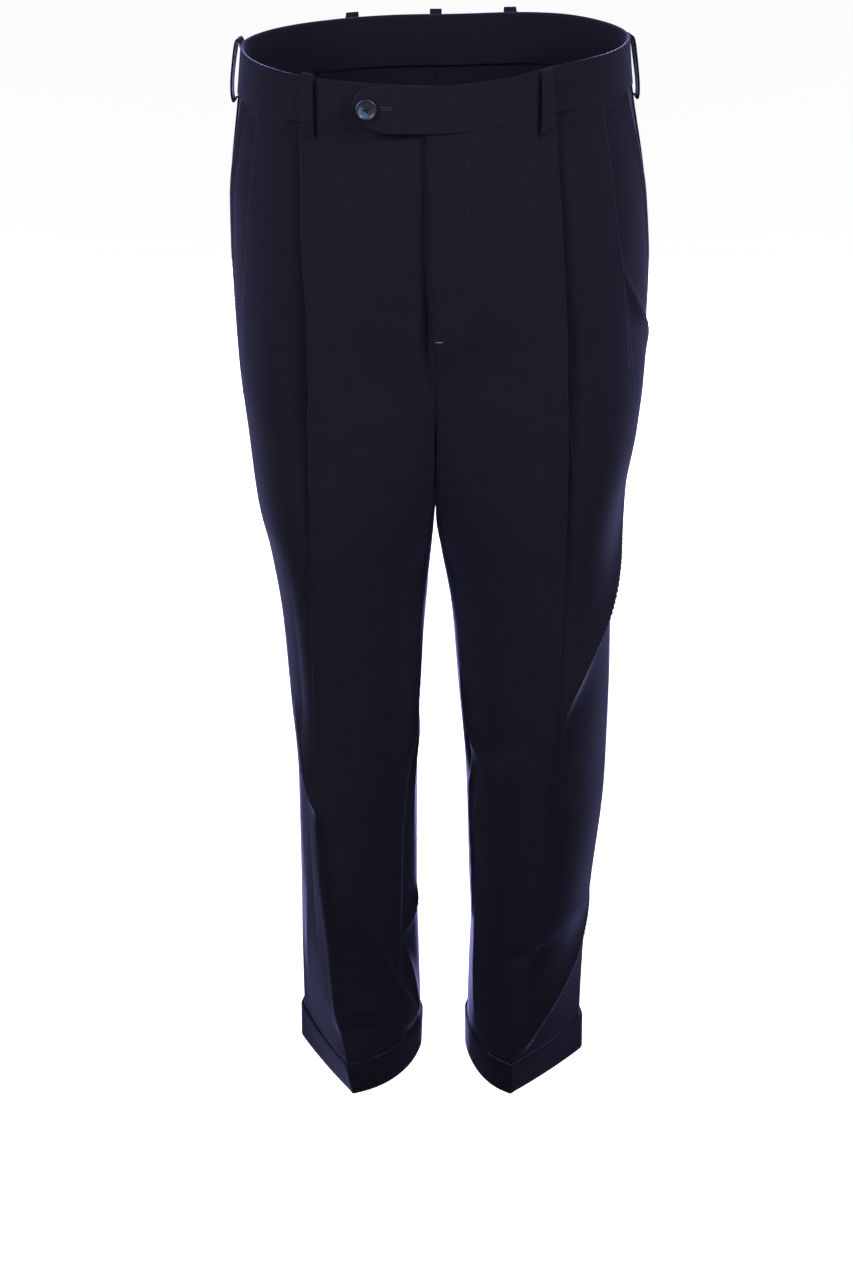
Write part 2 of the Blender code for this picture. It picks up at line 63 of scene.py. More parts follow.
# ---------------------------------------------------------------------------------------------
# Fronts and backs. Four panels of fine navy worsted, cut to taper down the leg, sewn along the
# outseams, inseams and the seam through the seat. Each front has two reverse pleats, held by the
# waistband, and the inner one runs on down the leg as a pressed crease.
# ---------------------------------------------------------------------------------------------

CM = 0.01
MM = 0.001
CLOTH = 1.1 * MM
SEAM = 0.3 * MM
BAND_FOOT = -1.75 * CM
WAIST_TILT = 0.035
TILT_ENDS = -20.0 * CM
FLY_END = -20.2 * CM
SEAT_TURNS = -19.0 * CM
CROTCH = -31.5 * CM
HEM = -100.4 * CM
TURNUP_HEIGHT = 4.1 * CM
PANEL_FOOT = HEM + 2.8 * MM
TUCK_DEPTH = 0.35 * MM
# The waist sits higher over the hip on the wearer's left.
SIDE_LIFT = {"right": 0.0, "left": 0.8 * CM}
HIP_HALF = 13 * CM

# Each leg's horizontal sections, in centimetres: the inseam, the front crease, the outseam and
# the rear crease. x is measured out from the middle of the body, on either side.
SECTION_COLUMNS = (
    "height", "inner_x", "inner_y", "crease_x", "crease_y", "seam_x", "seam_y", "rear_x", "rear_y",
)
SECTIONS = {
    "right": (
        (2.0, 0.00, 0.6, 11.0, -8.8, 16.5, 0.4, 9.4, 8.6),
        (-2.0, 0.00, 0.6, 11.2, -9.1, 16.9, 0.4, 9.5, 9.2),
        (-11.0, 0.00, 0.6, 11.3, -10.5, 17.8, 0.6, 9.5, 11.4),
        (-20.2, 0.00, 0.6, 10.9, -11.4, 17.8, 0.8, 9.2, 12.3),
        (-25.0, 0.00, 0.6, 10.9, -11.5, 17.6, 0.9, 9.0, 12.2),
        (-31.5, 0.00, 0.6, 10.9, -11.4, 16.9, 1.0, 8.6, 11.7),
        (-38.5, 0.06, 0.6, 10.9, -11.1, 16.2, 1.0, 8.2, 11.0),
        (-42.7, 0.30, 0.6, 11.0, -10.8, 15.3, 1.0, 8.0, 10.4),
        (-50.0, 0.90, 0.6, 11.0, -10.3, 14.3, 1.0, 7.8, 9.7),
        (-58.0, 1.40, 0.8, 11.0, -9.8, 13.8, 1.1, 7.7, 9.2),
        (-68.0, 1.75, 1.0, 11.0, -9.2, 13.2, 1.3, 7.6, 9.0),
        (-80.0, 1.80, 1.2, 10.2, -8.7, 13.2, 1.7, 7.6, 8.9),
        (-90.0, 1.60, 1.3, 9.5, -8.4, 13.3, 2.0, 7.6, 8.7),
        (-95.5, 1.50, 1.4, 8.7, -8.4, 13.3, 2.1, 7.6, 8.6),
        (-100.4, 1.60, 1.4, 8.0, -7.7, 13.4, 2.2, 7.6, 8.5),
    ),
    "left": (
        (2.0, 0.00, 0.6, 9.6, -8.4, 16.3, 0.4, 9.4, 8.6),
        (-2.0, 0.00, 0.6, 9.8, -8.7, 16.7, 0.4, 9.5, 9.2),
        (-11.0, 0.00, 0.6, 10.5, -10.4, 18.2, 0.6, 9.7, 11.4),
        (-20.2, 0.00, 0.6, 11.1, -11.3, 18.7, 0.8, 9.6, 12.3),
        (-25.0, 0.00, 0.6, 11.2, -11.4, 18.7, 0.9, 9.4, 12.2),
        (-31.5, 0.00, 0.6, 11.3, -11.3, 18.2, 1.0, 9.2, 11.7),
        (-38.5, 0.06, 0.6, 11.3, -11.0, 17.0, 1.0, 9.0, 11.0),
        (-42.7, 0.50, 0.6, 11.3, -10.7, 16.6, 1.0, 9.0, 10.4),
        (-50.0, 1.55, 0.6, 11.2, -10.3, 16.4, 0.8, 9.1, 9.7),
        (-58.0, 2.20, 0.8, 10.9, -9.8, 16.5, 0.6, 9.3, 9.2),
        (-68.0, 3.05, 1.0, 10.4, -9.2, 16.4, 0.5, 9.5, 9.0),
        (-80.0, 3.45, 1.2, 10.4, -8.7, 15.4, 0.3, 9.5, 8.9),
        (-84.5, 3.65, 1.3, 9.2, -8.5, 15.0, 0.2, 9.4, 8.8),
        (-90.0, 3.50, 1.4, 8.3, -8.3, 14.8, 0.2, 9.3, 8.7),
        (-95.5, 3.40, 1.5, 7.5, -8.4, 14.7, 0.1, 9.2, 8.6),
        (-100.4, 3.40, 1.5, 7.5, -7.7, 14.8, 0.0, 9.1, 8.5),
    ),
}
# Where the cloth turns in at the middle of the body, in centimetres.
CENTRE_COLUMNS = ("height", "front", "rear")
CENTRE = (
    (2.0, -11.7, 10.6),
    (-2.0, -12.0, 11.0),
    (-10.0, -12.3, 12.1),
    (-20.2, -12.1, 12.9),
    (-25.0, -11.4, 12.5),
    (-31.5, -9.8, 10.9),
    (-36.0, -7.8, 8.7),
    (-40.0, -5.0, 5.9),
    (-44.0, -2.0, 3.0),
    (-52.0, 0.6, 0.6),
)
# How flat the section runs beside the pressed creases, from 0, round, to 1, straight.
FLATNESS_COLUMNS = ("height", "front_inner", "front_outer", "rear_inner", "rear_outer")
FLATNESS = (
    (2.0, 0, 0, 0, 0),
    (-30.0, 0, 0, 0, 0),
    (-45.0, 5, 10, 10, 10),
    (-60.0, 8, 20, 20, 20),
    (-80.0, 12, 40, 30, 30),
    (-95.0, 32, 82, 35, 35),
    (-100.4, 40, 92, 40, 40),
)
# Between these heights the sections pass from one ellipse round the body to an arc on either side
# of each crease, which is squarer than an ellipse's 2.
INNER_SPLIT = (-16 * CM, -27 * CM)
OUTER_SPLIT = (-12 * CM, -38 * CM)
LEG_SQUARENESS = 2.35
# The pleats, in centimetres. overlap is the cloth folded under, layer half the step between two
# layers, and open runs from 0, a folded pleat, to 1, a pressed crease or flat cloth.
PLEAT_COLUMNS = ("height", "overlap", "layer", "open")
INNER_PLEAT = (
    (-2.0, 2.0, 0.085, 0),
    (-15.0, 0.4, 0.13, 0),
    (-25.0, 0.0, 0.12, 0.3),
    (-36.0, 0.0, 0.10, 1),
)
OUTER_PLEAT = (
    (-2.0, 1.5, 0.085, 0),
    (-12.0, 0.3, 0.11, 0),
    (-20.0, 0.0, 0.10, 0.5),
    (-28.0, 0.0, 0.10, 1),
)
PLEAT_APART_COLUMNS = ("height", "right", "left")
PLEAT_APART = ((-2.0, 5.2, 5.0), (-10.0, 6.6, 5.9), (-20.0, 8.8, 7.0), (-30.0, 9.2, 7.6))
# The pressed creases: how high they stand, how round they are, and how fast they fall away.
CREASE_RIDGE = 1.4 * MM
REAR_RIDGE = 1.1 * MM
CREASE_ROUND = 0.7 * MM
CREASE_REACH = 4.2 * MM
POCKET_TOP = 3.2 * CM
POCKET_FOOT = -21.5 * CM
# The mouth's edge is pressed and stands out over its last centimetre.
MOUTH_OUT = 1.2 * MM
MOUTH_EDGE = 0.95 * CM
# The fly edge of the wearer's left front, in centimetres: how far it laps past the centre, and
# how far it stands out over the other front.
FLY_COLUMNS = ("height", "lap", "raise")
FLY = ((-2.0, 0.9, 0.22), (-20.2, 0.4, 0.22), (-20.6, 0.0, 0.22), (-22.4, 0.0, 0.0))


def reading(table, columns, name, height):
    """A named column at each height in metres, by a cubic that never overshoots the rows."""
    rows = np.array(table, float)[::-1] * CM
    at, value = rows[:, 0], rows[:, columns.index(name)]
    step = np.diff(at)
    slope = np.diff(value) / step
    same = slope[:-1] * slope[1:] > 0
    total = np.where(same, slope[:-1] + slope[1:], 1.0)
    inner = np.where(same, 2 * slope[:-1] * slope[1:] / total, 0.0)
    tangent = np.concatenate([slope[:1], inner, slope[-1:]])
    height = np.clip(height, at[0], at[-1])
    row = np.clip(np.searchsorted(at, height, side="right") - 1, 0, len(step) - 1)
    t = (height - at[row]) / step[row]
    return (
        value[row] * (1 + 2 * t) * (1 - t) ** 2
        + value[row + 1] * t**2 * (3 - 2 * t)
        + tangent[row] * step[row] * t * (1 - t) ** 2
        - tangent[row + 1] * step[row] * t**2 * (1 - t)
    )


def ramp(value, start, end):
    """0 at start, 1 at end, with level ends: three t squared less two t cubed."""
    t = np.clip((value - start) / (end - start), 0, 1)
    return t * t * (3 - 2 * t)


def section(side, height, rear=False):
    """The front or rear half of each section, from the centre seam or inseam to the outseam.

    A straight stretch lies along the middle of the body, from the seam to where the cloth
    turns out. An arc then runs to the crease and another to the outseam. At the waist the
    arcs are one ellipse, and down the leg each is a quarter of a squared ellipse, drawn
    towards its chord by the flatness.
    """
    name = "rear" if rear else "crease"
    read = {
        column: reading(SECTIONS[side], SECTION_COLUMNS, column, height)[:, None]
        for column in SECTION_COLUMNS[1:]
    }
    x0, xc, yc = read["inner_x"], read[name + "_x"], read[name + "_y"]
    xs, ys = read["seam_x"], read["seam_y"]
    half = "rear" if rear else "front"
    flat_in, flat_out = (
        reading(FLATNESS, FLATNESS_COLUMNS, half + stretch, height)[:, None]
        for stretch in ("_inner", "_outer")
    )
    turn = reading(CENTRE, CENTRE_COLUMNS, half, height)[:, None]
    turn = np.maximum(turn, read["inner_y"]) if rear else np.minimum(turn, read["inner_y"])
    start = SEAT_TURNS if rear else FLY_END
    t = np.clip((height - start) / (CROTCH - start), 0, 1)[:, None]
    meet = turn + (read["inner_y"] - turn) * (1 - np.sqrt(1 - t * t))

    straight = np.linspace(0, 1, 7)[:-1]
    along = np.linspace(0, 1, 121)
    power = 2 / LEG_SQUARENESS
    corner = np.arcsin(np.clip(xc / xs, 0, 0.98))
    quarter = along * np.pi / 2

    leg = ramp(height, *INNER_SPLIT)[:, None]
    body_x = x0 + (xc - x0) * np.sin(along * corner) / np.sin(corner)
    body_y = turn + (yc - turn) * (1 - np.cos(along * corner)) / (1 - np.cos(corner))
    leg_x = xc - (xc - x0) * np.cos(quarter) ** power
    leg_y = turn + (yc - turn) * np.sin(quarter) ** power
    leg_x += flat_in * (x0 + (xc - x0) * along - leg_x)
    leg_y += flat_in * (turn + (yc - turn) * along - leg_y)
    inner_x, inner_y = body_x + leg * (leg_x - body_x), body_y + leg * (leg_y - body_y)

    leg = ramp(height, *OUTER_SPLIT)[:, None]
    angle = corner + along * (np.pi / 2 - corner)
    body_x = xc + (xs - xc) * (np.sin(angle) - np.sin(corner)) / (1 - np.sin(corner))
    body_y = yc + (ys - yc) * (1 - np.cos(angle) / np.cos(corner))
    leg_x = xc + (xs - xc) * np.sin(quarter) ** power
    leg_y = ys + (yc - ys) * np.cos(quarter) ** power
    leg_x += flat_out * (xc + (xs - xc) * along - leg_x)
    leg_y += flat_out * (yc + (ys - yc) * along - leg_y)
    outer_x, outer_y = body_x + leg * (leg_x - body_x), body_y + leg * (leg_y - body_y)

    x = np.hstack([x0 + 0 * straight, inner_x, outer_x[:, 1:]])
    y = np.hstack([meet + (turn - meet) * straight, inner_y, outer_y[:, 1:]])
    pieces = np.hypot(np.diff(x), np.diff(y))
    arc = np.hstack([0 * x0, np.cumsum(pieces, axis=1)])
    crease = arc[:, len(straight) + len(along) - 1]
    turned = arc[:, len(straight)]
    end = arc[:, -1]
    return {
        "x": x, "y": y, "arc": arc, "turned": turned, "crease": crease, "end": end, "rear": rear,
        "lift": SIDE_LIFT[side],
    }


def place(path, height, along, out):
    """Points (row, column, xyz) at a distance along each section and a distance out from it.

    Out is square to the section's chord over 3 mm either way.
    """
    x, y, normal_x, normal_y = (np.empty(along.shape) for _ in range(4))
    reach = 3 * MM
    for row, arc in enumerate(path["arc"]):
        # The section runs on in a straight line before its start, where a fly laps over.
        before = np.minimum(along[row], 0)
        x[row] = np.interp(along[row], arc, path["x"][row]) + before
        y[row] = np.interp(along[row], arc, path["y"][row])
        low = np.clip(along[row] - reach, 0, arc[-1] - reach)
        high = np.clip(along[row] + reach, reach, arc[-1])
        step_x = np.interp(high, arc, path["x"][row]) - np.interp(low, arc, path["x"][row])
        step_y = np.interp(high, arc, path["y"][row]) - np.interp(low, arc, path["y"][row])
        length = np.hypot(step_x, step_y)
        turn = -1 if path["rear"] else 1
        normal_x[row], normal_y[row] = turn * step_y / length, -turn * step_x / length
    x, y = x + normal_x * out, y + normal_y * out
    near_waist = ramp(height, TILT_ENDS, BAND_FOOT)[:, None]
    raised = WAIST_TILT * y + path["lift"] * ramp(x, 0, HIP_HALF)
    return np.stack([x, y, height[:, None] + near_waist * raised], axis=2)


# Soft folds. A fold's line is a short row of places: centimetres round the leg from the
# front crease, towards the outseam; height; and how far it stands out, in millimetres. near and
# far are how fast it falls away, in centimetres, on the side towards the inseam and on the side
# towards the outseam, and round is the radius of its crest.
FOLD_COLUMNS = ("near", "far", "round", "line")
FOLDS = {
    "right": (
        # The valley under the inner pleat's open fold, and the hollow beside the fly.
        (0.08, 1.3, 0.3, (
            (0.1, -4, -0.6), (0.1, -12, -2.0), (0.12, -18, -3.6), (0.15, -24, -5.6),
            (0.2, -30, -6.0), (0.2, -36, -4.2), (0.2, -42, -2.4), (0.2, -50, -1.7),
            (0.18, -58, -1.5), (0.15, -65, -1.2), (0.1, -69, 0),
        )),
        (0.08, 0.9, 0.5, (
            (-10.75, -2.5, -1.0), (-10.7, -8, -2.0), (-10.5, -14, -3.6), (-10.35, -19.5, -5.0),
            (-10.3, -22.5, -3.0), (-10.6, -27, 0),
        )),
        # The hollow of the inner thigh, behind the other leg's.
        (2.6, 2.6, 4.0, (
            (-12.0, -24, 0), (-16.5, -30, -4.5), (-17.5, -36, -6.0), (-17.0, -42, -3.5),
            (-16.0, -48, 0),
        )),
        # The knee's long fold from the outseam to the crease, whose outer side drops sharply.
        (1.6, 0.45, 0.4, (
            (5.0, -57.0, 0), (3.6, -59.4, 3.5), (1.8, -63.2, 6.5), (-0.2, -67.0, 8.0),
            (-0.8, -70.5, 8.0), (-0.7, -77.5, 7.0), (-0.5, -83.5, 4.5), (0, -89.0, 1.5),
            (0.3, -94, 0),
        )),
        (1.0, 2.4, 1.5, (
            (4.2, -60, 0), (3.0, -66, -3.0), (2.6, -72, -4.0), (2.6, -78, -3.0), (2.8, -85, 0),
        )),
        (2.2, 2.5, 3.0, (
            (3.0, -40, 0), (2.8, -48, -3.0), (2.6, -56, -4.5), (2.4, -61, -2.5), (2.4, -66, 0),
        )),
        # The calf's soft fold down to the inseam, with the hollow below it.
        (0.7, 2.2, 0.7, (
            (-1.8, -71.0, 0), (-2.0, -74.5, 5.0), (-2.8, -78.2, 8.5), (-4.3, -82.0, 9.5),
            (-5.8, -87.4, 8.5), (-7.8, -91.6, 6.0), (-9.7, -95.2, 2.5),
        )),
        (1.8, 2.4, 3.0, (
            (-1.8, -78.5, 0), (-3.0, -83.5, -2.0), (-4.4, -88.0, -2.6), (-6.0, -91.5, -1.2),
        )),
        # Folds at the inner side of the knee and down the calf.
        (0.4, 1.6, 0.8, (
            (-14.6, -50, 0), (-13.8, -56, 1.8), (-12.0, -61.5, 3.5), (-9.9, -64.6, 5.0),
            (-9.0, -68.2, 5.5), (-8.1, -75.0, 4.5), (-7.5, -81.0, 3.5), (-7.2, -86.0, 1.0),
        )),
        (0.8, 1.2, 1.5, (
            (-13.6, -59.5, 0), (-12.8, -62.5, 4.0), (-12.0, -65.5, 4.0), (-12.0, -70.0, 1.5),
            (-12.0, -75, 0),
        )),
        (0.5, 0.9, 0.8, (
            (-12.8, -80.2, 0.6), (-11.8, -81.9, 4.0), (-9.8, -82.9, 4.0), (-7.8, -83.6, 1.0),
        )),
        (0.5, 1.0, 0.8, (
            (-7.8, -84.0, 1.0), (-9.3, -88.6, 3.5), (-10.3, -93.0, 3.5), (-10.9, -96.0, 1.5),
        )),
        # The break over the shoe: an arch, and the hollow under it.
        (2.6, 0.8, 1.4, (
            (1.0, -92.8, 0.6), (-0.1, -91.5, 1.8), (-1.5, -90.6, 3.2), (-3.1, -90.8, 4.0),
            (-5.2, -92.0, 3.6), (-7.2, -94.2, 2.2), (-9.6, -96.2, 0.8),
        )),
        (0.8, 1.6, 2.0, (
            (0.2, -93.4, -1.0), (-1.2, -92.6, -3.5), (-3.2, -92.8, -4.0), (-5.4, -94.0, -3.0),
            (-7.2, -95.6, 0),
        )),
        (1.2, 1.0, 2.0, (
            (4.0, -73, 0), (4.8, -80, 1.6), (6.2, -87, 2.4), (7.8, -93, 0.8),
        )),
        # Behind: the seat's drag to the crotch, the back of the knee, and the break at the heel.
        (2.0, 1.6, 3.0, (
            (42.0, -31.0, 0), (39.0, -33.8, 5.0), (34.5, -37.0, 5.5), (29.0, -42.0, 2.0),
        )),
        (1.6, 2.4, 3.0, (
            (41.0, -38.0, 0), (37.0, -40.5, 4.5), (32.0, -44.5, 4.5), (27.5, -50.5, 1.0),
        )),
        (0.8, 1.6, 1.5, (
            (13.5, -57.0, 0), (17.0, -59.0, 4.5), (21.5, -61.5, 6.0), (26.0, -62.0, 4.5),
            (29.5, -60.2, 0),
        )),
        (1.6, 0.8, 1.5, (
            (15.0, -64.5, 0), (18.5, -65.2, 4.0), (23.0, -67.0, 5.0), (27.0, -70.5, 1.0),
        )),
        (1.8, 0.8, 1.5, (
            (14.5, -71.0, 0), (17.0, -76.0, 4.0), (18.5, -83.0, 4.5), (19.5, -90.0, 1.5),
        )),
        (2.2, 0.7, 1.2, (
            (15.5, -94.5, 0.6), (18.5, -92.0, 4.0), (22.5, -91.4, 4.8), (26.0, -93.0, 2.6),
            (28.8, -95.6, 0.3),
        )),
        (0.8, 1.6, 1.5, (
            (25.5, -80.5, 0), (24.2, -84.5, 3.4), (24.4, -88.5, 3.0), (26.5, -92.5, 0),
        )),
    ),
    "left": (
        (0.08, 1.4, 0.3, (
            (0.1, -3, -0.6), (0.1, -12, -1.8), (0.12, -19, -3.2), (0.15, -26, -5.2),
            (0.2, -33, -6.0), (0.2, -39, -4.4), (0.2, -45, -2.6), (0.2, -52, -1.8),
            (0.18, -60, -1.5), (0.15, -70, -1.4), (0.1, -79, -1.0), (0.1, -83, 0),
        )),
        # The pocket mouth's pull: a sharp fold from the outer pleat down to the outseam.
        (0.5, 0.5, 0.6, (
            (6.2, -13.0, 0), (7.2, -16.4, 2.6), (9.4, -19.6, 4.5), (12.0, -22.2, 4.0),
            (13.4, -24.6, 1.0),
        )),
        # From beside the fly's curved stitching, up and out.
        (1.2, 1.6, 3.0, (
            (-9.4, -20.8, 0.8), (-8.2, -19.2, 2.6), (-7.2, -15.5, 2.4), (-6.6, -11.0, 0.4),
        )),
        (0.8, 1.0, 1.5, (
            (-7.4, -24.6, 0), (-6.2, -25.7, 2.0), (-4.8, -26.7, 2.0), (-3.2, -27.5, 0),
        )),
        # The thigh's long fold from the outseam to the crease above the knee.
        (1.8, 0.8, 0.5, (
            (13.0, -35.0, 0), (11.4, -39.5, 4.0), (9.0, -43.8, 8.5), (5.9, -46.9, 11.0),
            (3.1, -50.1, 11.5), (1.4, -54.2, 9.5), (0.6, -57.4, 6.0), (0.3, -60.6, 2.5),
            (0.4, -64.0, 0.5),
        )),
        (1.6, 1.2, 2.0, (
            (2.4, -57.0, 0), (1.6, -61.0, 2.4), (1.2, -65.0, 2.4), (1.2, -70.0, 1.0),
            (1.2, -75.0, 0),
        )),
        # Folds at the inner side of the knee.
        (1.4, 1.4, 2.5, (
            (-1.6, -60.6, 0), (-3.8, -63.4, 3.0), (-6.0, -65.8, 4.5), (-8.0, -69.5, 3.0),
            (-8.6, -75, 0),
        )),
        (0.5, 0.9, 0.8, (
            (-12.2, -56.4, 1.0), (-10.6, -58.9, 4.5), (-9.2, -61.8, 5.0), (-8.0, -63.6, 1.0),
        )),
        (0.6, 1.0, 1.5, (
            (-13.0, -61.2, -1.0), (-11.4, -64.0, -5.0), (-9.8, -66.0, -2.0), (-8.6, -67.4, 0),
        )),
        (1.2, 2.0, 2.5, (
            (-7.6, -59.5, 0), (-6.0, -61.6, -2.4), (-4.0, -60.4, -1.8), (-2.4, -58.0, 0),
        )),
        (0.5, 0.5, 0.6, (
            (-9.6, -64.5, 0.4), (-9.4, -66.5, 3.5), (-9.4, -70.2, 4.0), (-9.5, -75.4, 3.6),
            (-9.7, -83.0, 1.0),
        )),
        # The break, where the crease shifts inwards, and the sharp fold down to the turn-up.
        (1.2, 1.6, 1.6, (
            (4.2, -82.3, 0), (2.6, -82.8, -1.0), (1.0, -83.4, -2.6), (-0.2, -83.9, -4.5),
            (-1.8, -84.6, -4.0), (-3.8, -85.6, -3.0), (-4.6, -90.2, -1.0),
        )),
        (2.0, 0.3, 0.5, (
            (10.6, -81.4, 0.4), (9.8, -82.8, 3.0), (8.5, -84.8, 5.5), (6.8, -87.5, 7.5),
            (4.6, -90.9, 7.5), (2.6, -94.2, 4.5), (1.4, -95.8, 2.0), (0.6, -97.0, 0.3),
        )),
        (1.4, 1.4, 2.0, (
            (-8.9, -77.2, 0), (-8.2, -83.0, 2.4), (-6.9, -90.0, 3.0), (-6.1, -94.5, 0.8),
        )),
        # Behind, as on the other leg but not quite alike.
        (2.0, 1.6, 3.0, (
            (43.0, -31.5, 0), (40.0, -34.4, 5.0), (35.0, -38.0, 5.0), (30.0, -43.0, 1.6),
        )),
        (1.6, 2.4, 3.0, (
            (42.0, -38.5, 0), (38.0, -41.2, 4.0), (33.0, -45.2, 4.5), (29.0, -51.5, 0.8),
        )),
        (0.8, 1.6, 1.5, (
            (15.0, -60.5, 0), (19.0, -61.2, 4.2), (24.0, -63.0, 5.5), (29.0, -61.8, 4.5),
            (33.0, -58.8, 0),
        )),
        (1.6, 0.8, 1.5, (
            (18.0, -67.2, 0), (22.0, -67.4, 3.8), (26.5, -69.0, 4.6), (30.5, -72.5, 0.8),
        )),
        (1.8, 0.8, 1.5, (
            (15.0, -73.5, 0), (17.0, -79.0, 3.8), (18.6, -85.5, 4.5), (19.4, -91.0, 1.2),
        )),
        (2.2, 0.7, 1.2, (
            (14.5, -93.6, 0.4), (18.5, -92.0, 4.0), (22.5, -92.2, 4.4), (26.5, -94.4, 2.0),
            (29.0, -96.4, 0.3),
        )),
        (0.8, 1.6, 1.5, (
            (28.0, -79.0, 0), (26.2, -83.5, 3.6), (26.0, -88.0, 3.2), (28.0, -92.0, 0),
        )),
    ),
}


def smooth_line(points, count):
    """A line through the points, by Catmull and Rom's cubic, as count places per stretch."""
    points = np.array(points, float)
    ends = np.vstack([2 * points[0] - points[1], points, 2 * points[-1] - points[-2]])
    t = np.linspace(0, 1, count, endpoint=False)[:, None]
    runs = []
    for a, b, c, d in zip(ends, ends[1:], ends[2:], ends[3:]):
        cubic = (3 * (b - c) + d - a) * t**3 + (2 * a - 5 * b + 4 * c - d) * t**2
        runs.append(b + 0.5 * ((c - a) * t + cubic))
    return np.vstack(runs + [points[-1:]])


def fold_rise(side, around, height):
    """How far the folds stand out at each place: crest height times e to minus the distance
    from the fold's line over its reach, with the distance rounded off close to the crest."""
    rise = 0 * around
    for fold in FOLDS[side]:
        near, far, radius, points = (fold[FOLD_COLUMNS.index(name)] for name in FOLD_COLUMNS)
        line = smooth_line(points, 8) * (CM, CM, MM)
        best = np.full(around.shape, 1e9)
        crest = 0 * around
        turned = 0 * around
        for (a0, z0, r0), (a1, z1, r1) in zip(line, line[1:]):
            run, fall = a1 - a0, z1 - z0
            t = np.clip(((around - a0) * run + (height - z0) * fall) / (run**2 + fall**2), 0, 1)
            off_a, off_z = around - a0 - t * run, height - z0 - t * fall
            apart = np.hypot(off_a, off_z)
            closer = apart < best
            best = np.where(closer, apart, best)
            crest = np.where(closer, r0 + t * (r1 - r0), crest)
            turned = np.where(closer, np.sign(off_a * -fall + off_z * run), turned)
        reach = np.where(turned > 0, far, near) * CM
        radius *= MM
        rise += crest * np.exp(-(np.sqrt(best**2 + radius**2) - radius) / reach)
    return rise


def pressed(height):
    """1 where a pressed crease stands up, 0 where the turn-up lies round it."""
    turnup_edge = HEM + TURNUP_HEIGHT
    return ramp(height, turnup_edge + 0.5 * CM, turnup_edge + 5 * CM)[:, None]


def crease_fall(away):
    """1 on a pressed crease, falling off as e to minus the distance from it over its reach."""
    return np.exp(-(np.hypot(away, CREASE_ROUND) - CREASE_ROUND) / CREASE_REACH)


def pocket_mouth(height):
    """How far forward of the outseam the slant pocket's edge lies: in proportion to its height
    above the mouth's foot."""
    share = np.clip((height - POCKET_FOOT) / (BAND_FOOT - POCKET_FOOT), 0, 1)
    return POCKET_TOP * share[:, None]


def outseam_gap(height):
    """How far short of the outseam a panel stops: more where the seam is a sharper corner."""
    return SEAM / 2 + 0.55 * MM * ramp(height, -25 * CM, -75 * CM)[:, None]


def between(first, last, count):
    """Columns from one column to another, the first left out."""
    share = np.linspace(0, 1, count + 1)[1:]
    return first + (last - first) * share


def pleat(table, height, ridge):
    """A reverse pleat in 38 places: distance along from its fold, and distance out.

    Folded, it is three straight layers joined by two half circles. Open, the same places
    spread over the pressed crease's ridge.
    """
    overlap, layer = (
        reading(table, PLEAT_COLUMNS, column, height)[:, None] for column in ("overlap", "layer")
    )
    opened = reading(table, PLEAT_COLUMNS, "open", height)[:, None] / CM
    margin = 4 * MM
    turn = np.linspace(np.pi / 2, -np.pi / 2, 9)
    top = -overlap - margin + (overlap + margin - layer) * np.linspace(0, 1, 8)
    first = -layer + layer * np.cos(turn[1:])
    under = -layer - overlap * np.linspace(0, 1, 7)[1:]
    second = -layer - overlap - layer * np.cos(turn[1:])
    bottom = second[:, -1:] + (margin - second[:, -1:]) * np.linspace(0, 1, 9)[1:]
    along = np.hstack([top, first, under, second, bottom])
    out = np.hstack([
        0 * top, layer * (np.sin(turn[1:]) - 1), 0 * under - 2 * layer,
        -2 * layer + layer * (np.sin(turn[1:]) - 1), 0 * bottom - 4 * layer,
    ])
    spread = np.interp(
        np.arange(along.shape[1]), (0, 7, 11, 15, 21, 29, 37), np.array((-12, -3, 0, 3, 8, 14, 24)) * MM
    )
    rise = ridge * crease_fall(spread)
    return along + opened * (spread - along), out + opened * (rise - out)


